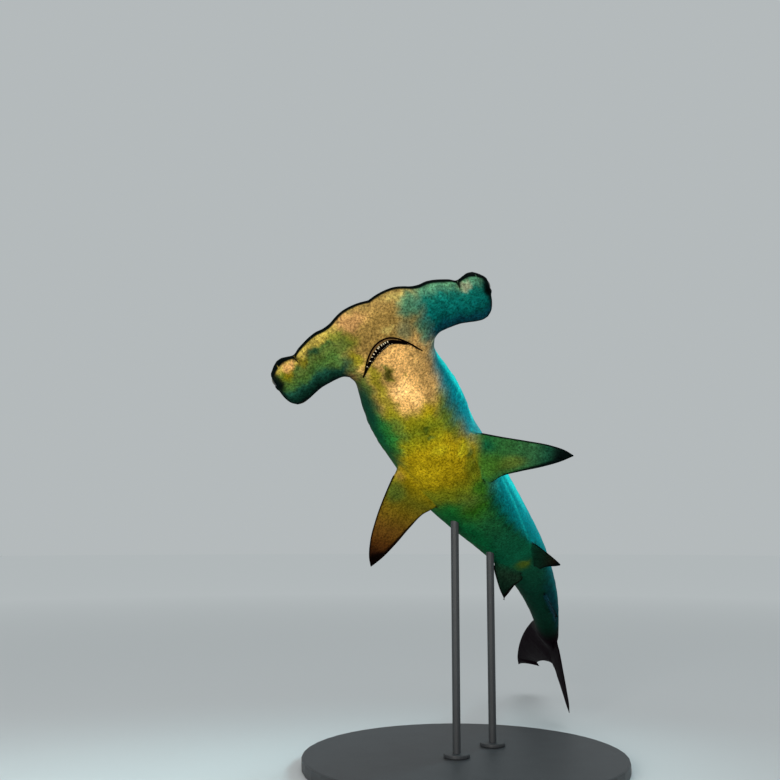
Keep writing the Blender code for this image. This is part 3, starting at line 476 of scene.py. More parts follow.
def body_measures(points):
    """The reverse of place: s, y and z of points, from the foot of each on the spine."""
    s = np.empty(len(points))
    for part in runs(len(points)):
        gaps = points[part, None] - SPINE[1][None, ::10]
        s[part] = SPINE[0][::10][(gaps**2).sum(-1).argmin(1)]
    for _ in range(3):
        left, back = along(SPINE[2], s), along(SPINE[3], s)
        offset = points - along(SPINE[1], s)
        s = np.clip(s - (offset * np.cross(left, back)).sum(-1) / LENGTH, 0.0, 1.0)
    left, back = along(SPINE[2], s), along(SPINE[3], s)
    offset = (points - along(SPINE[1], s)) / LENGTH
    return s, (offset * left).sum(-1), (offset * back).sum(-1)


HALF_WIDTH, BELOW, ABOVE = (natural_spline(GIRTH[:, 0], GIRTH[:, k]) for k in (1, 2, 3))


def half_outline():
    """Points of the outline of head and neck on one side, from the middle of the front edge."""
    t = np.linspace(0, 1, 300)
    neck = np.linspace(AXIL[0], 0.22, 200)
    sides = [drawn_curve(FRONT_EDGE)(t), drawn_curve(OUTER_EDGE)(t), drawn_curve(REAR_EDGE)(t[::-1])]
    return np.concatenate(sides + [np.stack([neck, HALF_WIDTH(neck)], 1)])


OUTLINE = half_outline()
# Closer than this to the outline, a point counts as on it, so that back and belly meet there.
OUTLINE_BLUR = 0.00002


def edge_distance(s, y):
    """How far a point of the plan lies inside the outline of head and neck."""
    start, run = OUTLINE[:-1], np.diff(OUTLINE, axis=0)
    length2 = np.maximum((run**2).sum(-1), 1e-18)
    flat_s, flat_y = np.ravel(s), np.abs(np.ravel(y))
    gaps = np.empty(flat_s.shape)
    for part in runs(len(gaps)):
        ds = flat_s[part, None] - start[:, 0]
        dy = flat_y[part, None] - start[:, 1]
        share = np.clip((ds * run[:, 0] + dy * run[:, 1]) / length2, 0, 1)
        gaps[part] = np.hypot(ds - share * run[:, 0], dy - share * run[:, 1]).min(1)
    return np.maximum(gaps - OUTLINE_BLUR, 0.0).reshape(np.shape(s))


def height(s, y, side):
    """Height of the back (side 1) or depth of the belly (side -1) over a point of the plan.

    It is a core height times a quarter round that closes to nothing at the outline.
    """
    s, y = np.broadcast_arrays(np.asarray(s, float), np.asarray(y, float))
    width = HALF_WIDTH(np.maximum(s, AXIL[0]))
    body = ABOVE(s) if side > 0 else BELOW(s)
    wing = WING_ABOVE if side > 0 else WING_BELOW
    spread = mix(0.046, 0.086, ease(s, 0.04, 0.1)) + 0.2 * ease(s, 0.105, 0.14)
    core = mix(wing, body, np.exp(-(np.abs(y) / spread) ** 4))
    inside = np.maximum(width - np.abs(y), 0.0)
    if s.min() < 0.16:
        inside = mix(edge_distance(s, y), inside, ease(s, 0.11, 0.16))
    rounding = mix(EDGE_ROUNDING, TIP_ROUNDING, ease(np.abs(y), 0.106, 0.128))
    rounding = mix(rounding, width, ease(s, 0.06, 0.13) * (1 - ease(np.abs(y), 0.06, 0.08)))
    fullness = mix(2.0, 2.35, ease(s, 0.1, 0.2)) if side < 0 else 2.0
    rise = np.clip(1 - inside / rounding, 0.0, 1.0)
    return side * core * (1 - rise**fullness) ** (1 / fullness)


def chord_rows(rows):
    """Shares of the hammer's length, set closer together at its front and rear edges."""
    t = np.linspace(0, 1, rows + 1)
    return mix(t, 0.5 - 0.5 * np.cos(math.pi * t), 0.75)


def wing_plan(rows, panels):
    """Plan of the left half of the hammer outside the neck: a patch between its four edges."""
    front_curve, outer_curve = drawn_curve(FRONT_EDGE), drawn_curve(OUTER_EDGE)
    rear_curve = drawn_curve(REAR_EDGE)
    fine = np.linspace(0, 1, 4000)
    start = np.interp(AXIL[1], front_curve(fine)[:, 1], fine)
    g = chord_rows(rows)[:, None, None]
    w = np.linspace(0, 1, panels + 1)
    w = mix(w, np.sin(0.5 * math.pi * w), 0.6)
    front = front_curve(mix(start, 1.0, w))[None]
    rear = rear_curve(w)[None]
    outer = outer_curve(g[:, 0, 0])[:, None]
    inner = mix(front[:, :1], rear[:, :1], g)
    w = w[None, :, None]
    corners = mix(mix(front[:, :1], front[:, -1:], w), mix(rear[:, :1], rear[:, -1:], w), g)
    return mix(front, rear, g) + mix(inner, outer, w) - corners


def middle_plan(rows, panels):
    """Plan of the middle of the head, between the two wings of the hammer."""
    fine = drawn_curve(FRONT_EDGE)(np.linspace(0, 1, 4000))
    across = np.sin(np.linspace(-0.5, 0.5, panels + 1) * math.pi) * AXIL[1]
    front = np.interp(np.abs(across), fine[:, 1], fine[:, 0])
    g = chord_rows(rows)[:, None]
    return np.stack([mix(front[None], AXIL[0], g), np.broadcast_to(across, (rows + 1, panels + 1))], -1)


def trunk_sheet(rows, side):
    """One sheet of the body from neck to tail tip, as s, y and z.

    Up to the stem of the tail a row is the body's own section. From there it flattens into
    the blade of the upper lobe, whose edges are the drawn curves, bent sideways by the swing.
    """
    angle = np.linspace(-0.5, 0.5, BODY_PANELS + 1)[None] * math.pi
    s = rows[:, None]
    y = HALF_WIDTH(np.minimum(s, STEM_END)) * np.sin(angle)
    z = height(np.minimum(s, STEM_END), y, side)
    fine = np.linspace(0, 1, 3000)
    edges = [drawn_curve(points)(fine) for points in (CAUDAL_TOP, CAUDAL_BOTTOM)]
    high, low = (np.interp(s, edge[:, 0], edge[:, 1]) for edge in edges)
    low = np.minimum(low, high - 0.003)
    flat = ease(s, STEM_END, BLADE_START)
    middle = 0.5 * (high + low) * flat
    share_up = np.abs(z) / (ABOVE(STEM_END) if side > 0 else BELOW(STEM_END))
    share_up = mix(np.clip(share_up, 0, 1), np.cos(angle), flat)
    blade_z = middle + ((high if side > 0 else low) - middle) * share_up
    chord = np.clip((high - blade_z) / (high - low), 0, 1)
    thick = mix(CAUDAL_THICK, 0.001, ease(s, 0.76, 0.96))
    thin = np.maximum(thick * 1.7 * np.sqrt(chord) * (1 - chord) ** 0.75, 0.0003)
    round_y = y * mix(1.0, 0.16, ease(s, STEM_END, 0.8))
    swing = (s - STEM_END) / (TAIL_TIP - STEM_END)
    blade_y = mix(round_y, np.sign(angle) * thin, flat)
    blade_y = blade_y + mix(UPPER_FLEX * swing**2, TRAIL_FLEX * swing, chord)
    in_tail = s > STEM_END
    y, z = np.where(in_tail, blade_y, y), np.where(in_tail, blade_z, z)
    return np.stack([np.broadcast_to(s, y.shape), y, z], -1)


def grid_triangles(rows, columns, flip=False):
    """Two triangles for each cell of a grid."""
    i, j = np.meshgrid(np.arange(rows - 1), np.arange(columns - 1), indexing="ij")
    a = (i * columns + j).ravel()
    b, c, d = a + columns, a + columns + 1, a + 1
    faces = np.concatenate([np.stack([a, b, c], 1), np.stack([a, c, d], 1)])
    return faces[:, ::-1] if flip else faces


class Surface:
    """Points and triangles gathered from several patches, made one closed mesh at the end."""

    def __init__(self):
        self.points = []
        self.faces = []
        self.count = 0

    def add(self, points, faces):
        self.points.append(points.reshape(-1, 3))
        self.faces.append(faces + self.count)
        self.count += len(self.points[-1])

    def add_grid(self, grid, flip=False, flat=None):
        faces = grid_triangles(*grid.shape[:2], flip)
        if flat is not None:
            faces = faces[~flat.ravel()[faces].all(1)]
        self.add(grid, faces)

    def add_fan(self, ring):
        """Close a ring of points with triangles round its middle."""
        count = len(ring)
        i = np.arange(count)
        faces = np.stack([i, (i + 1) % count, np.full(count, count)], 1)
        self.add(np.concatenate([ring, ring.mean(0, keepdims=True)]), faces)

    def finish(self, name, material=None, merge=0.00006):
        """Mesh object whose doubled points are merged and whose faces point outwards."""
        mesh = bpy.data.meshes.new(name)
        mesh.from_pydata(np.concatenate(self.points).tolist(), [], np.concatenate(self.faces).tolist())
        obj = bpy.data.objects.new(name, mesh)
        bpy.context.scene.collection.objects.link(obj)
        work = bmesh.new()
        work.from_mesh(mesh)
        bmesh.ops.remove_doubles(work, verts=work.verts, dist=merge)
        bmesh.ops.dissolve_degenerate(work, edges=work.edges, dist=merge)
        bmesh.ops.recalc_face_normals(work, faces=work.faces)
        work.to_mesh(mesh)
        work.free()
        if material:
            mesh.materials.append(material)
        return obj


def mesh_points(mesh):
    """Places of a mesh's points."""
    points = np.empty(len(mesh.vertices) * 3)
    mesh.vertices.foreach_get("co", points)
    return points.reshape(-1, 3)


def set_mesh_points(mesh, points):
    """Move a mesh's points to new places."""
    mesh.vertices.foreach_set("co", points.ravel())
    mesh.update()


def mesh_normals(mesh):
    """Outward directions at a mesh's points."""
    normals = np.empty(len(mesh.vertices) * 3)
    mesh.vertex_normals.foreach_get("vector", normals)
    return normals.reshape(-1, 3)


def join(obj, others, operation):
    """Join the others to a mesh, or cut them from it, and remove them."""
    group = bpy.data.collections.new("operands")
    bpy.context.scene.collection.children.link(group)
    for other in others:
        bpy.context.scene.collection.objects.unlink(other)
        group.objects.link(other)
    modifier = obj.modifiers.new("join", "BOOLEAN")
    modifier.operation = operation
    modifier.operand_type = "COLLECTION"
    modifier.collection = group
    modifier.solver = "MANIFOLD"
    evaluated = obj.evaluated_get(bpy.context.evaluated_depsgraph_get())
    mesh = bpy.data.meshes.new_from_object(evaluated)
    obj.modifiers.clear()
    old, obj.data = obj.data, mesh
    mesh.name = obj.name
    bpy.data.meshes.remove(old)
    for other in others:
        bpy.data.objects.remove(other)
    bpy.data.collections.remove(group)
    work = bmesh.new()
    work.from_mesh(mesh)
    bmesh.ops.triangulate(work, faces=[face for face in work.faces if len(face.verts) > 3])
    work.to_mesh(mesh)
    work.free()


def sweep(name, path, across, other, half_across, half_other, sides=16):
    """Closed bar along a path, whose section is an ellipse on the two given directions."""
    angle = np.linspace(0, 2 * math.pi, sides + 1)[None, :, None]
    grid = path[:, None] + half_across[:, None, None] * across[:, None] * np.cos(angle)
    grid = grid + half_other[:, None, None] * other[:, None] * np.sin(angle)
    surface = Surface()
    surface.add_grid(grid)
    surface.add_fan(grid[0, :-1])
    surface.add_fan(grid[-1, :-1])
    return surface.finish(name)


def mouth_arc(u):
    """Places s and y of the front edge of the mouth, over the share u across it."""
    power = np.where(u < 0, 2.4, 1.95)
    s = MOUTH_APEX - 0.0022 + (MOUTH_CORNER[0] - MOUTH_APEX + 0.001) * np.abs(u) ** power
    return s, MOUTH_CORNER[1] * u - MOUTH_SHIFT - 0.002 * (u < 0) * u**2


def mouth_widths(u):
    """Widths of the whole opening and its crease, and where the slot behind the lip starts."""
    whole, crease = (0.001 * np.interp(u, MOUTH_WIDTHS[:, 0], MOUTH_WIDTHS[:, k]) for k in (1, 2))
    return whole, crease, whole * LIP_SHARE * ease(u, -1.0, -0.72)


def mouth_frame(u, back_by=0.0, sink=0.0):
    """Points along the mouth on the skin, with the directions back across it and outward."""
    s, y = mouth_arc(u)
    points = place(s, y, height(s, y, -1))
    step = 0.0005
    back = place(s + step, y, height(s + step, y, -1)) - points
    aside = place(s, y + step, height(s, y + step, -1)) - points
    outward = unit(np.cross(back, aside))
    outward *= -np.sign((outward * along(SPINE[3], s)).sum(-1, keepdims=True))
    heading = unit(np.gradient(points, axis=0))
    across = unit(np.cross(heading, outward))
    across *= np.sign((across * back).sum(-1, keepdims=True))
    return points + across * np.reshape(back_by, (-1, 1)) - sink * outward, across, outward


def add_mouth(skin):
    """Cut the crease before the upper lip and, behind the lip, the crescent of the open mouth."""
    u = np.linspace(-1.0, 1.0, 141)
    _, crease, _ = mouth_widths(u)
    path, across, outward = mouth_frame(u, 0.5 * crease, 0.0015)
    deep = np.minimum(0.009, 0.002 + 1.6 * crease)
    join(skin, [sweep("crease", path, across, outward, 0.5 * crease, deep)], "DIFFERENCE")
    u = np.linspace(-1.03, 0.72, 141)
    whole, _, start = mouth_widths(u)
    half = 0.5 * (whole - start) * (1 - ease(u, 0.6, 0.74)) + 0.0004
    path, across, outward = mouth_frame(u, start + 0.5 * (whole - start), 0.004)
    join(skin, [sweep("slot", path, across, outward, half, 0.006 + 1.6 * half, 20)], "DIFFERENCE")


def add_nostrils(skin):
    """Cut the slit of each nostril, from the notch in the front edge in under the head."""
    cutters = []
    t = np.linspace(0, 1, 15)
    for side in SIDES.values():
        s = NOSTRIL[0] + mix(-0.0016, 0.0066, t)
        y = side * (NOSTRIL[1] + mix(0.0006, -0.0016, t))
        path = place(s, y, height(np.maximum(s, 0.0312), y, -1) * ease(t, -0.1, 0.35))
        outward = -along(SPINE[3], s)
        across = unit(np.cross(unit(np.gradient(path, axis=0)), outward))
        half = 0.0019 * np.sqrt(np.clip(1 - (t - 0.35) ** 2 / 0.44, 0.08, 1))
        cutters.append(sweep("slit", path, across, outward, half, np.full(15, 0.0075), 10))
    join(skin, cutters, "DIFFERENCE")


def ball(name, centre, outward, radius, rows=48, columns=64, material=None):
    """Ball whose poles lie on its outward axis."""
    side = unit(np.cross(outward, np.array([0.1, 0.2, 0.97])))
    other = np.cross(outward, side)
    polar = np.linspace(0, math.pi, rows + 1)[:, None, None]
    round_angle = np.linspace(0, 2 * math.pi, columns + 1)[None, :, None]
    ring = side * np.cos(round_angle) + other * np.sin(round_angle)
    surface = Surface()
    surface.add_grid(centre + radius * (outward * np.cos(polar) + ring * np.sin(polar)))
    return surface.finish(name, material, 0.00001)


def eye_axis(side):
    """Centre of an eye and the direction in which it looks."""
    centre = place(EYE_S, side * EYE_Y, 0.0)
    return centre, unit(place(EYE_S - 0.0006, side * (EYE_Y + 0.01), -0.0004) - centre)


def fin_sheet(lead, trail, rows, columns, bow, sink):
    """Middle sheet of a fin: its points in metres and its span share v and chord share u."""
    v = np.linspace(0, 1, rows + 1)
    v = mix(v, 1 - (1 - v) ** 2, 0.5)
    u = np.linspace(0, 1, columns + 1)
    u = mix(u, 0.5 - 0.5 * np.cos(math.pi * u), 0.7)
    sheet = mix(drawn_curve(lead)(v)[:, None], drawn_curve(trail)(v)[:, None], u[None, :, None])
    span = unit(np.array(lead[-1]) - 0.5 * (np.array(lead[0]) + np.array(trail[0])))
    sheet = np.concatenate([sheet[:1] - sink * span, sheet])
    v = np.concatenate([[-0.06], v])
    points = place(sheet[..., 0], sheet[..., 1], sheet[..., 2])
    normal = unit(np.cross(np.gradient(points, axis=0), np.gradient(points, axis=1)))
    normal[-1] = normal[-2]
    offset = bow[0] + bow[1] * np.clip(v, 0, 1) ** bow[2]
    points = points + LENGTH * offset[:, None, None] * normal
    v, u = np.broadcast_arrays(v[:, None], u[None])
    return points, normal, v, u


def fin(name, lead, trail, thick, rows, columns, sink=0.012, bow=(0.0, 0.0, 1.0)):
    """Closed blade between a leading and a trailing edge, with the shares of its sheet.

    A row is a thin wing section, thickest at a third of its chord. The rows grow thinner
    towards the tip, and the root flares where it meets the body.
    """
    points, normal, v, u = fin_sheet(lead, trail, rows, columns, bow, sink)
    section = 1.75 * np.sqrt(u) * (1 - u) ** 0.8
    taper = mix(1.0, 0.16, np.clip(v, 0, 1) ** 0.8) * (1 + 0.5 * np.exp(-np.clip(v, 0, 1) / 0.05))
    half = np.maximum(LENGTH * thick * section * taper, 0.00045)
    half[:, 0] = 0
    top, bottom = points + half[..., None] * normal, points - half[..., None] * normal
    surface = Surface()
    surface.add_grid(top)
    surface.add_grid(bottom, flip=True)
    surface.add_grid(np.stack([top[:, -1], bottom[:, -1]], 1))
    for row in (0, -1):
        surface.add_grid(np.stack([top[row], bottom[row]], 1))
    return surface.finish(name), (name, points, v, u, half)


def paired(points, side, pull=0.0):
    """Points of a paired fin, with its inner part pulled forward and up."""
    shares = [pull * (1 - (y / FIN_REACH) ** 2) for s, y, z in points]
    return [(s - share, side * y, z + share) for (s, y, z), share in zip(points, shares)]


def drawn_out(points, reach):
    """Points of a fin drawn out from the first one, each further than the one before it."""
    points = np.array(points)
    shares = np.linspace(0, 1, len(points))[:, None]
    return points + (reach - 1) * shares * (points - points[:1])


def build_fins():
    """All fins but the upper lobe of the tail, each with the sheet that its paint follows."""
    fins = []
    for word, side in SIDES.items():
        lead, trail = PECTORAL
        pull = RIGHT_FIN_TWIST if side < 0 else 0.0
        edges = paired(lead, side), paired(trail, side, pull)
        fins.append(fin(f"pectoral_{word}", *edges, 0.0058, 44, 26))
        edges = (drawn_out(paired(edge, side), PELVIC_REACH[side]) for edge in PELVIC)
        fins.append(fin(f"pelvic_{word}", *edges, 0.0034, 24, 18, 0.01))
    for name, (edges, form) in MIDDLE_FINS.items():
        edges = ([(s, 0.0, z) for s, z in edge] for edge in edges)
        fins.append(fin(name, *edges, *form))
    return fins


def build_body_mesh():
    """Head, trunk and upper tail lobe as one closed sheet of fine patches."""
    surface = Surface()
    wing = wing_plan(HEAD_ROWS, WING_PANELS)
    for plan in (wing, wing * np.array([1.0, -1.0]), middle_plan(HEAD_ROWS, BODY_PANELS)):
        s, y = plan[..., 0], plan[..., 1]
        for side in (1, -1):
            rise = height(s, y, side)
            surface.add_grid(place(s, y, rise), side < 0, rise == 0)
    ends = []
    for side in (1, -1):
        points = place(*np.moveaxis(trunk_sheet(BODY_ROWS, side), -1, 0))
        surface.add_grid(points, side < 0)
        ends.append(points[-1])
    surface.add_fan(np.concatenate([ends[0], ends[1][::-1][1:-1]]))
    return surface.finish("skin")


def gill_relief(s, y, z):
    """Height of the gill flaps in metres: each rises gently and ends over a deep narrow slit."""
    t = (z - GILL_LOW) / (GILL_HIGH - GILL_LOW)
    relief = np.zeros_like(s)
    for number in range(GILL_SLITS):
        d = s - (GILL_FIRST + number * GILL_STEP + 0.004 * (t - 0.5) ** 2)
        flap = np.where(d < 0, np.exp(d / 0.0032), 0.0) * 0.0026
        relief += flap - 0.0062 * hill(d, 0.0009, 0.00085)
    return relief * band(t, -0.02, 0.16, 0.86, 1.02) * ease(np.abs(y), 0.03, 0.04)


def mouth_offsets(points):
    """Points near the mouth: their numbers, share u across it, and how far back and deep they lie."""
    u = np.linspace(-1.12, 1.12, 225)
    path, across, outward = mouth_frame(u)
    near = near_box(points, path, 0.05)
    index, _ = nearest_on(points[near], path)
    beside = (index > 0) & (index < len(u) - 1)
    near, index = near[beside], index[beside]
    offset = points[near] - path[index]
    back_by, rise = ((offset * axes[index]).sum(-1) for axes in (across, outward))
    return near, u[index], back_by, -rise


def mouth_relief(points):
    """Raised rims before the crease and behind the opening, with a hollow ahead of the lip."""
    relief = np.zeros(len(points))
    near, u, back_by, depth = mouth_offsets(points)
    whole, _, _ = mouth_widths(u)
    ends = (1 - ease(np.abs(u), 0.9, 1.05)) * (np.abs(depth) < 0.03)
    rim = 0.002 * hill(back_by, -0.004, 0.0045) + 0.0018 * hill(back_by, whole + 0.0045, 0.005)
    hollow = 0.0014 * hill(back_by, -0.016, 0.007) + 0.001 * hill(back_by, 0.5 * whole, 0.5 * whole)
    relief[near] = ends * (rim - hollow)
    return relief


def skin_relief(s, y, z):
    """Height of the skin's own forms over the plain body, in metres."""
    out = np.abs(y)
    inside = np.where(s < 0.04, edge_distance(s, y), 1.0)
    # Under the head: a swell behind the mouth, a groove along the front edge, a groove with a
    # ridge across each wing, and a round lobe at each end.
    below = 0.006 * mound(y / 0.03, (s - 0.078) / 0.024)
    margin = band(out, 0.056, 0.064, 0.1, 0.103)
    below += margin * (0.0012 * hill(inside, 0.0034, 0.0012) - 0.0022 * hill(inside, 0.0052, 0.0011))
    groove = np.interp(out, *GROOVE_LINE)
    reach = band(out, 0.044, 0.062, 0.088, 0.102)
    ridge = np.where(y < 0, 0.0002, 0.0016) * hill(s, groove - 0.0095, 0.0045)
    below += reach * (ridge - 0.0034 * hill(s, groove, 0.0042))
    below += 0.0035 * mound((out - 0.1165) / 0.0085, (s - 0.04) / 0.0085)
    relief = ease(-z, 0.002, 0.008) * below
    # The lid round the eye, the gills, the pit before the tail and the vent.
    ring = np.hypot(s - EYE_S, z)
    lid = 0.003 * hill(ring, 0.0092, 0.003) + 0.001 * hill(ring, 0.0075, 0.0012)
    relief += ease(out, 0.118, 0.128) * lid
    relief += gill_relief(s, y, z) * (np.abs(s - 0.18) < 0.04)
    relief -= 0.004 * mound((s - 0.7025) / 0.0032, (z - 0.0235) / 0.006)
    relief -= 0.0028 * mound((s - 0.486) / 0.0065, y / 0.0011) * (z < 0)
    ripple = np.sin(s * 260 + 3 * np.sin(y * 90)) * np.sin(z * 170 + s * 55) * 0.00045
    return relief + ripple * band(s, 0.1, 0.14, 0.64, 0.7)


def smooth_near(mesh, weight, rounds=14):
    """Draw each point towards the mean of its neighbours, by half its weight in each round."""
    points = mesh_points(mesh)
    pairs = np.empty(len(mesh.edges) * 2, int)
    mesh.edges.foreach_get("vertices", pairs)
    pairs = pairs.reshape(-1, 2)
    pairs = pairs[(weight[pairs] > 0.001).any(1)]
    here, there = np.concatenate([pairs, pairs[:, ::-1]]).T
    degree = np.maximum(np.bincount(here, minlength=len(points)), 1)[:, None]
    for _ in range(rounds):
        total = np.stack([np.bincount(here, points[there, k], len(points)) for k in range(3)], 1)
        points += 0.5 * weight[:, None] * (total / degree - points)
    set_mesh_points(mesh, points)


def body_excess(s, y, z):
    """How far a point of the sheet lies outside the plain body, as a share of the length."""
    s = np.minimum(s, STEM_END)
    reach = np.where(z > 0, ABOVE(s), BELOW(s))
    width = HALF_WIDTH(s)
    return (np.hypot(y / width, z / reach) - 1) * np.minimum(width, reach)


def near_box(points, samples, margin):
    """Numbers of the points inside the samples' box, or less than a margin from it."""
    low, high = samples.min(0) - margin, samples.max(0) + margin
    return np.where(((points > low) & (points < high)).all(1))[0]


def nearest_on(points, samples):
    """Index of the nearest sample and its distance for each point."""
    index = np.empty(len(points), int)
    gap = np.empty(len(points))
    for part in runs(len(points)):
        gaps = ((points[part, None] - samples[None]) ** 2).sum(-1)
        index[part] = gaps.argmin(1)
        gap[part] = np.sqrt(gaps.min(1))
    return index, gap


def linear(hex_value):
    """Linear colour of an sRGB hex value."""
    value = np.array([int(hex_value[i:i + 2], 16) / 255 for i in (1, 3, 5)])
    return np.where(value <= 0.04045, value / 12.92, ((value + 0.055) / 1.055) ** 2.4)


def paint_over(tone, hex_value, weight):
    """Lay a colour over the tones, as thick as its weight."""
    return mix(tone, linear(hex_value), np.clip(weight, 0, 1)[:, None])


def coats_between(x, coats):
    """Paint between the stops of a coat, as linear colours."""
    stops = [stop for stop, _ in coats]
    colours = np.array([linear(colour) for _, colour in coats])
    return np.stack([np.interp(x, stops, colours[:, k]) for k in range(3)], 1)


def lay_patches(tone, s, y, patches):
    """Lay soft-edged patches; one weighs strength * exp(-r**4), r being reaches from its middle."""
    for colour, *spot, strength in patches:
        middle_s, middle_y, reach_s, reach_y = (value / 10000 for value in spot)
        ring = np.hypot((s - middle_s) / reach_s, (y - middle_y) / reach_y)
        tone = paint_over(tone, colour, strength * np.exp(-(ring**4)))
    return tone


def underside_tones(s, y):
    """Paint of the underside, its coats and patches meeting at edges that waver."""
    s = s + 0.0014 * np.sin(310 * y + 70 * s) + 0.0009 * np.sin(730 * y - 410 * s)
    y = y + 0.0016 * np.sin(280 * s + 1) + 0.0009 * np.sin(690 * s + 350 * y)
    tone = lay_patches(coats_between(s, GROUND_COAT), s, y, PATCHES)
    head = 1 - ease(s, 0.088, 0.104)
    fine = np.linspace(0, 1, 2000)
    edges = [drawn_curve(points)(fine) for points in (FRONT_EDGE, REAR_EDGE)]
    front, rear = (np.interp(np.abs(y), edge[:, 1], edge[:, 0]) for edge in edges)
    for side, coat in WING_COATS.items():
        wing_tone = coats_between((s - front) / (rear - front), coat)
        wing_tone = lay_patches(wing_tone, s, side * y, WING_PATCHES[side])
        tone = mix(tone, wing_tone, (head * ease(side * y, 0.04, 0.06))[:, None])
    return tone


def left_light(s, y, up):
    """Where light strikes the left side: on the neck, before the fin and along the flank."""
    neck = band(s, 0.1, 0.116, 0.165, 0.2) * ease(up, -0.5, -0.25)
    wedge = hill(s, 0.212, 0.012) * ease(up, -0.4, -0.15)
    share = y / HALF_WIDTH(np.clip(s, AXIL[0], STEM_END))
    streak = hill(share, np.interp(s, *STREAK_LINE), 0.022) * band(s, 0.3, 0.32, 0.43, 0.46)
    outer = ease(share, 0.94, 0.98) * band(s, 0.3, 0.32, 0.39, 0.44)
    light = np.maximum(np.maximum(neck, wedge), 0.8 * np.maximum(streak, outer))
    return light * ease(y, 0.0, 0.01) * (1 - ease(up, 0.0, 0.16))


def make_tones(points, normals, sheets):
    """Colour of every point of the skin and how strong its speckle is."""
    s, y, _ = body_measures(points)
    up = (normals * along(SPINE[3], s)).sum(-1)
    head = 1 - ease(s, 0.085, 0.11)
    tip = head * ease(np.abs(y) - 0.35 * np.abs(s - 0.05), 0.122, 0.13)
    tone = paint_over(underside_tones(s, y), RIM_BLACK, 0.95 * tip)
    # Near-black along the rear edge of each wing is painted shade.
    rear = head * ease(np.abs(y), 0.052, 0.068) * ease(s, 0.058, 0.072)
    rear = rear * (1 - ease(edge_distance(np.minimum(s, 0.2), y), 0.002, 0.008))
    tone = paint_over(tone, RIM_BLACK, 0.9 * rear)
    # Painted shade on the right flank and painted teal light on the left one, over the flank's own
    # darker tone.
    flank = ease(up, -0.84, -0.48) * ease(s, 0.085, 0.12)
    for side, coat in FLANK_COATS.items():
        weight = 0.92 * flank * ease(side * y, -0.004, 0.01)
        if side < 0:
            weight = weight * (1 - 0.8 * ease(s, 0.46, 0.52))
        tone = mix(tone, coats_between(s, coat), weight[:, None])
    # Near-black along the hammer's front edge: the dark back's own colour with painted shade over it.
    rim = head * ease(up, -0.58, -0.34)
    top = ease(up, 0.0, 0.5)
    for paint, weight in (
        (LIT_TEAL, left_light(s, y, up)),
        (RIM_BLACK, rim),
        (BACK_BRONZE, ease(up, mix(0.02, 0.45, head), mix(0.34, 0.9, head))),
        (BACK_DARK, 0.7 * ease(up, 0.8, 1.0)),
        (TAIL_MAROON, ease(s, 0.668 - 0.1 * top, 0.712 + 0.06 * top)),
    ):
        tone = paint_over(tone, paint, weight)
    grain = (1 - 0.5 * flank) * (1 - 0.5 * ease(up, -0.2, 0.3))
    grain = grain * (1 - 0.6 * ease(s, 0.36, 0.5)) * (1 - 0.5 * rim)
    for name, sheet, v, u, half in sheets:
        near = near_box(points, sheet.reshape(-1, 3), 0.03)
        index, gap = nearest_on(points[near], sheet.reshape(-1, 3))
        chord = np.linalg.norm(sheet[:, -1] - sheet[:, 0], axis=1)[index // sheet.shape[1]]
        v, u, half = (values.ravel()[index] for values in (v, u, half))
        on = ease(v, 0.0, 0.05) * (1 - ease(gap - half, 0.003, 0.007))
        tone[near] = fin_tones(tone[near], name, u, v, chord, up[near], on)
        grain[near] = mix(grain[near], FIN_GRAIN, on)
    return tone, grain


def fin_tones(tone, name, u, v, chord, up, on):
    """Paint of a fin: its own coat below, bronze above, with a dark tip and dark edges."""
    if name == "lower_lobe":
        return paint_over(tone, TAIL_MAROON, on)
    fin_tone = np.tile(linear(BACK_BRONZE), (len(u), 1))
    cover = on
    if name in FIN_COATS:
        below = lay_patches(coats_between(v, FIN_COATS[name]), u, v, FIN_PATCHES.get(name, []))
        fin_tone = below if name == "anal" else mix(below, fin_tone, ease(up, -0.1, 0.3)[:, None])
        cover = on * np.maximum(ease(v, 0.0, 0.16), ease(up, -0.3, 0.1))
    width = mix(0.0035, 0.017, ease(v, 0.25, 0.85))
    trail = 1 - ease((1 - u) * chord, 0.6 * width, 1.3 * width)
    lead = ease(v, 0.03, 0.12) * (1 - ease(u * chord, 0.0025, 0.006))
    dark = np.maximum.reduce([ease(v + 0.1 * (u - 0.5), 0.8, 0.87), trail, lead])
    fin_tone = paint_over(fin_tone, TIP_BLACK if name.endswith("right") else RIM_BLACK, 0.97 * dark)
    return mix(tone, fin_tone, np.maximum(cover, on * dark)[:, None])


def set_tones(mesh, tone, grain):
    """Keep the paint on the mesh as two attributes of its points."""
    colour = mesh.attributes.new("tone", "FLOAT_COLOR", "POINT")
    colour.data.foreach_set("color", np.insert(tone, 3, 1.0, axis=1).ravel())
    mesh.attributes.new("grain", "FLOAT", "POINT").data.foreach_set("value", grain)


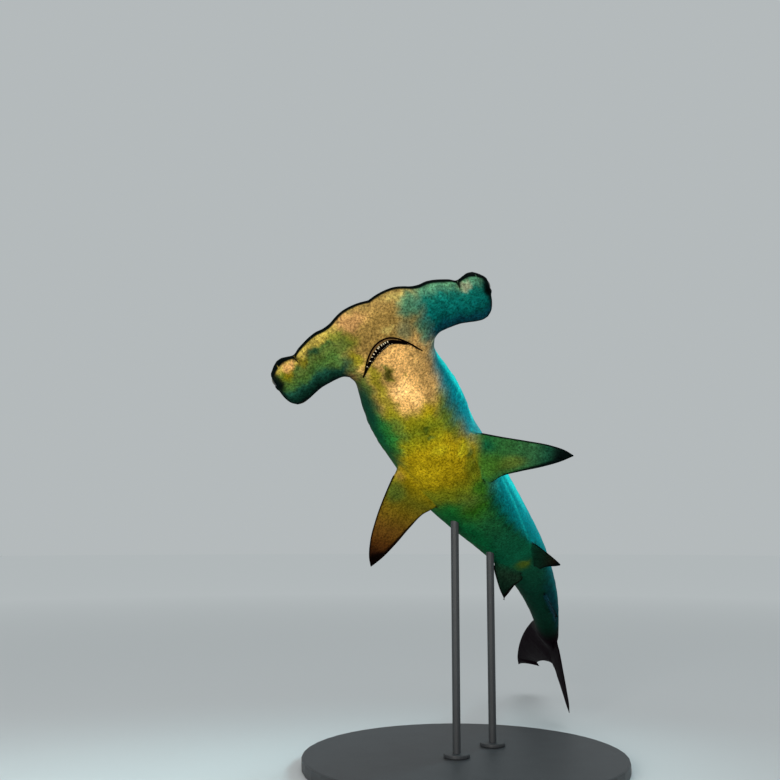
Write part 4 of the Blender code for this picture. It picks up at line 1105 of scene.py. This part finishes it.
def build_skin(material):
    """One skin from snout to tail: body, mouth, nostrils, sockets and fins without a seam."""
    skin = build_body_mesh()
    points = mesh_points(skin.data)
    relief = skin_relief(*body_measures(points)) + mouth_relief(points)
    set_mesh_points(skin.data, points + relief[:, None] * mesh_normals(skin.data))
    built = build_fins()
    join(skin, [obj for obj, _ in built], "UNION")
    sheets = [sheet for _, sheet in built]
    points = mesh_points(skin.data)
    weight = np.zeros(len(points))
    for name, sheet, *_ in sheets:
        rows = sheet.reshape(-1, 3)
        seam = rows[np.abs(body_excess(*body_measures(rows))) < SEAM_NEAR]
        if len(seam):
            reach = 0.03 if name.startswith(("pectoral", "first")) else 0.014
            near = near_box(points, seam, reach)
            _, gap = nearest_on(points[near], seam)
            weight[near] = np.maximum(weight[near], 1 - ease(gap, 0.5 * reach, reach))
    smooth_near(skin.data, weight)
    add_mouth(skin)
    add_nostrils(skin)
    socket = LENGTH * EYE_RADIUS + SOCKET_GAP
    join(skin, [ball("socket", *eye_axis(side), socket) for side in SIDES.values()], "DIFFERENCE")
    mesh = skin.data
    points = mesh_points(mesh)
    set_tones(mesh, *paint_openings(points, *make_tones(points, mesh_normals(mesh), sheets)))
    mesh.materials.clear()
    mesh.materials.append(material)
    mesh.shade_smooth()
    mesh.set_sharp_from_angle(angle=math.radians(SHARP_FROM))
    return skin


def paint_openings(points, tone, grain):
    """Painted shade inside the mouth, in the nostrils and round the eyes, with a brown lip before the
    teeth.
    """
    near, u, back_by, depth = mouth_offsets(points)
    whole, crease, start = mouth_widths(u)
    on_skin = (1 - ease(depth, 0.001, 0.003)) * (1 - ease(u, 0.6, 0.75)) * (np.abs(depth) < 0.03)
    lip = band(back_by, 0.5 * crease, crease, start - 0.001, start + 0.001)
    tone[near] = paint_over(tone[near], LIP_BROWN, 0.75 * lip * on_skin)
    # Painted shade over the crease and the open mouth, where the skin lies deeper in.
    across = band(back_by, -0.0014, 0.0002, whole - 0.0004, whole + 0.0014)
    dark = ease(depth, 0.0004, 0.0022) * across * (depth < 0.04)
    tone[near] = paint_over(tone[near], MOUTH_SHADE, dark)
    grain[near] *= 1 - dark
    # Painted shade round each eye socket and nostril slit.
    eye = LENGTH * EYE_RADIUS
    for side in SIDES.values():
        slit = place(NOSTRIL[0] + 0.002, side * (NOSTRIL[1] - 0.0003), -0.003)
        shade_rings = (eye_axis(side)[0], eye + 0.003, eye + 0.01, 1.0), (slit, 0.005, 0.012, 0.85)
        for centre, low, high, weight in shade_rings:
            ring = np.linalg.norm(points - centre, axis=1)
            tone = paint_over(tone, RIM_BLACK, weight * (1 - ease(ring, low, high)))
    return tone, grain


def build_eye(name, side, material):
    """Eye with a dark pupil in a thin brassy iris."""
    centre, outward = eye_axis(side)
    eye = ball(name, centre, outward, LENGTH * EYE_RADIUS, 72, 96, material)
    offset = unit(mesh_points(eye.data) - centre)
    angle = np.degrees(np.arccos(np.clip((offset * outward).sum(-1), -1, 1)))
    tone = np.tile(linear(PUPIL_BLACK), (len(angle), 1))
    tone = paint_over(tone, IRIS_BRASS, band(angle, 15, 17, 24, 28))
    set_tones(eye.data, tone, np.zeros(len(angle)))
    eye.data.shade_smooth()
    return eye


def build_teeth(material):
    """Small pointed teeth in two rows inside the open mouth.

    Each is a flat cone with a rounded root, leaning back into the mouth.
    """
    surface = Surface()
    draw = np.random.default_rng(7)
    turn = np.linspace(0, 2 * math.pi, 9)[:, None]
    level = np.linspace(0, 1, 5)[:, None, None]
    for low, high, count, lower in TOOTH_ROWS:
        u = np.linspace(low, high, count) + draw.uniform(-0.012, 0.012, count)
        whole, _, start = mouth_widths(u)
        root_back = whole + 0.0006 if lower else start + 0.0024
        path, across, outward = mouth_frame(u, root_back, 0.0045 if lower else 0.0035)
        lean = -0.62 * across + outward if lower else 0.9 * across + 0.35 * outward
        axis = unit(lean + draw.uniform(-0.12, 0.12, (count, 3)))
        size = (0.0042 if lower else 0.0056) + 0.002 * draw.random(count)
        size = size * np.minimum((whole - start) / 0.014, 1.0)
        heading = unit(np.cross(axis, across))
        flat = unit(np.cross(heading, axis))
        for k in range(count):
            ring = size[k] * (0.33 * heading[k] * np.cos(turn) + 0.16 * flat[k] * np.sin(turn))
            surface.add_grid(path[k] + (1 - level**1.4) * ring + size[k] * axis[k] * level)
            surface.add_fan((path[k] + ring)[:-1])
    teeth = surface.finish("teeth", material, 0.000005)
    teeth.data.shade_smooth()
    return teeth


def make_material(name):
    """Material with its nodes, its shader and the place on the object."""
    material = bpy.data.materials.new(name)
    material.use_nodes = True
    tree = material.node_tree
    where = add_node(tree, "ShaderNodeTexCoord").outputs["Object"]
    return material, tree, tree.nodes["Principled BSDF"], where


def add_node(tree, kind, settings=None, inputs=None):
    """Add a node with its settings, and set or link its inputs."""
    node = tree.nodes.new(kind)
    for key, value in (settings or {}).items():
        setattr(node, key, value)
    set_inputs(tree, node, inputs or {})
    return node


def set_inputs(tree, node, inputs):
    """Set inputs to numbers, or link them to other nodes."""
    for key, value in inputs.items():
        if isinstance(value, bpy.types.NodeSocket):
            tree.links.new(value, node.inputs[key])
        else:
            node.inputs[key].default_value = value


def own_value(tree, name, output):
    """Paint kept on the mesh's own points."""
    return add_node(tree, "ShaderNodeAttribute", {"attribute_name": name}).outputs[output]


def noise(tree, where, scale, detail, roughness=0.5):
    """Noise whose forms measure 1 / scale in metres."""
    inputs = {"Vector": where, "Scale": scale, "Detail": detail, "Roughness": roughness}
    return add_node(tree, "ShaderNodeTexNoise", inputs=inputs).outputs["Fac"]


def ranged(tree, value, low, high, to_low, to_high):
    """Value carried from one range to another and held at its ends."""
    inputs = {"Value": value, "From Min": low, "From Max": high, "To Min": to_low, "To Max": to_high}
    return add_node(tree, "ShaderNodeMapRange", inputs=inputs).outputs["Result"]


def blend(tree, factor, first, second):
    """Colour between two paints."""
    inputs = {"Factor": factor, 6: (*linear(first), 1), 7: (*linear(second), 1)}
    return add_node(tree, "ShaderNodeMix", {"data_type": "RGBA"}, inputs).outputs[2]


def bump(tree, height_value, strength, distance, under=None):
    """Relief that the light sees, of a given distance in metres, over another relief."""
    inputs = {"Height": height_value, "Strength": strength, "Distance": distance}
    if under:
        inputs["Normal"] = under
    return add_node(tree, "ShaderNodeBump", inputs=inputs).outputs["Normal"]


def painted_skin():
    """Painted fine shagreen: satin, with speckle over the paint and tiny denticles in the bump."""
    material, tree, shader, where = make_material("painted_shagreen")
    # Speckle of 7 mm, mottle of 22 mm and blotches of 90 mm. Life's speckle is too fine to show.
    speckle = noise(tree, where, 150.0, 3.0, 0.75)
    mottle = noise(tree, where, 45.0, 4.0, 0.6)
    blotch = noise(tree, where, 11.0, 3.0, 0.6)
    factor = ranged(tree, speckle, 0.36, 0.64, 0.44, 1.62)
    for value, darkest, lightest in ((mottle, 0.78, 1.2), (blotch, 0.8, 1.18)):
        inputs = {0: factor, 1: ranged(tree, value, 0.35, 0.65, darkest, lightest)}
        factor = add_node(tree, "ShaderNodeMath", {"operation": "MULTIPLY"}, inputs).outputs["Value"]
    strength = ranged(tree, own_value(tree, "grain", "Fac"), 0.0, 1.0, 0.25, 1.0)
    inputs = {"Factor": strength, 2: 1.0, 3: factor}
    factor = add_node(tree, "ShaderNodeMix", {"data_type": "FLOAT"}, inputs).outputs[0]
    # The speckle lightens and darkens the paint and doesn't change its hue.
    inputs = {0: own_value(tree, "tone", "Color"), "Scale": factor}
    paint = add_node(tree, "ShaderNodeVectorMath", {"operation": "SCALE"}, inputs).outputs["Vector"]
    # Denticles are about 0.3 mm and too fine to show, so the bump draws them at 2.5 mm.
    inputs = {"Vector": where, "Scale": 400.0}
    denticles = add_node(tree, "ShaderNodeTexVoronoi", inputs=inputs).outputs["Distance"]
    wrinkles = noise(tree, where, 70.0, 5.0)
    set_inputs(tree, shader, {
        "Base Color": paint,
        "Roughness": ranged(tree, mottle, 0.3, 0.7, 0.42, 0.56),
        "Specular IOR Level": 0.004,
        "Normal": bump(tree, wrinkles, 0.25, 0.0016, bump(tree, denticles, 0.16, 0.0006)),
    })
    return material


def glass_eye():
    """Polished glass eye: the dark paint lies under a clear hard gloss."""
    material, tree, shader, _ = make_material("polished_glass_eye")
    set_inputs(tree, shader, {
        "Base Color": own_value(tree, "tone", "Color"), "Roughness": 0.18,
        "Coat Weight": 0.35, "Coat Roughness": 0.06,
    })
    return material


def ivory_enamel():
    """Enamel of the teeth: pale, glossy and a little yellow, with faint stain."""
    material, tree, shader, where = make_material("ivory_enamel")
    paint = blend(tree, noise(tree, where, 320.0, 2.0), "#f4e6c6", "#c8b48a")
    set_inputs(tree, shader, {"Base Color": paint, "Roughness": 0.22})
    return material


def powder_coat():
    """Powder-coated steel: matt dark grey with a fine orange-peel bump."""
    material, tree, shader, where = make_material("powder_coated_steel")
    # Orange peel of about 2 mm, drawn at 3 mm, and a faint cloud of 60 mm.
    peel = noise(tree, where, 330.0, 2.0)
    set_inputs(tree, shader, {
        "Base Color": blend(tree, noise(tree, where, 16.0, 3.0), "#26282b", "#34373a"),
        "Roughness": ranged(tree, peel, 0.0, 1.0, 0.45, 0.62),
        "Normal": bump(tree, peel, 0.2, 0.0005),
    })
    return material


def pale_floor():
    """Plain pale studio floor, paler far off so that it runs into the background like a sweep."""
    material, tree, shader, where = make_material("pale_floor")
    far = add_node(tree, "ShaderNodeVectorMath", {"operation": "LENGTH"}, {0: where}).outputs["Value"]
    paint = blend(tree, ranged(tree, far, 1.0, 9.0, 0.0, 1.0), "#cdd0d1", "#fbfcfc")
    set_inputs(tree, shader, {"Base Color": paint, "Roughness": 1.0, "Specular IOR Level": 0.0})
    surface = Surface()
    ring = np.linspace(0, 2 * math.pi, 129)[:-1]
    surface.add_fan(FLOOR_RADIUS * np.stack([np.cos(ring), np.sin(ring), np.zeros(128)], 1))
    floor = surface.finish("floor", material)


def stand_at(obj, right, up, back, spot):
    """Put an object in the scene at a spot, turned to three directions."""
    bpy.context.scene.collection.objects.link(obj)
    obj.matrix_world = Matrix([[*row] for row in np.array([right, up, back]).T]).to_4x4()
    obj.location = spot


def area_light(name, spot, aim, size, power, colour, spread=180):
    """Soft square lamp at a spot, aimed at a point, with its light kept within spread degrees."""
    data = bpy.data.lights.new(name, "AREA")
    data.size = size
    data.energy = power
    data.color = colour
    data.spread = math.radians(spread)
    lamp = bpy.data.objects.new(name, data)
    back = unit(np.array(spot) - np.array(aim))
    right = unit(np.cross((0.0, 0.0, 1.0), back))
    stand_at(lamp, right, np.cross(back, right), back, spot)
    return lamp


def light_and_camera():
    """Soft studio light and the camera of the photograph."""
    scene = bpy.context.scene
    hold = np.array(HOLD_PLACE)
    right, up, back = (np.array(axis) for axis in CAMERA_AXES)
    data = bpy.data.cameras.new("camera")
    data.lens = CAMERA_LENS
    data.sensor_width = CAMERA_SENSOR
    camera = bpy.data.objects.new("camera", data)
    stand_at(camera, right, up, back, hold + LENGTH * np.array(CAMERA_PLACE))
    scene.camera = camera
    area_light("key", np.array(camera.location) - 1.0 * right + 0.3 * up, hold, *KEY_LAMP)
    area_light("top", hold + np.array([0.2, 0.3, 3.4]), hold, *TOP_LAMP)
    rim_spot = hold + 2.2 * (right - back) + np.array([0, 0, 1.0])
    rim = area_light("rim", rim_spot, hold + 0.2 * up, *RIM_LAMP)
    # The lamp behind the animal lights its edge and leaves no glint in the eye.
    rim.visible_glossy = False
    scene.world = bpy.data.worlds.new("studio")
    scene.world.use_nodes = True
    backdrop = scene.world.node_tree.nodes["Background"]
    backdrop.inputs["Color"].default_value = (*linear(STUDIO_GREY), 1)
    backdrop.inputs["Strength"].default_value = STUDIO_STRENGTH
    scene.view_settings.view_transform = "Standard"


def dress():
    """Pieces of the model, what they ride on and what they stand for."""
    skin = build_skin(painted_skin())
    flesh = [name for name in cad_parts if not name.startswith(("stand_", "eye_"))]
    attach(skin, "root")
    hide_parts(*sorted(flesh))
    glass = glass_eye()
    for word, side in SIDES.items():
        eye = build_eye(f"glass_eye_{word}", side, glass)
        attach(eye, "root")
        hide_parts(f"eye_{word}")
    teeth = build_teeth(ivory_enamel())
    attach(teeth, "root")
    coat = powder_coat()
    for name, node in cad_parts.items():
        if name.startswith("stand_"):
            node.data.materials.clear()
            node.data.materials.append(coat)


dress()
pale_floor()
light_and_camera()
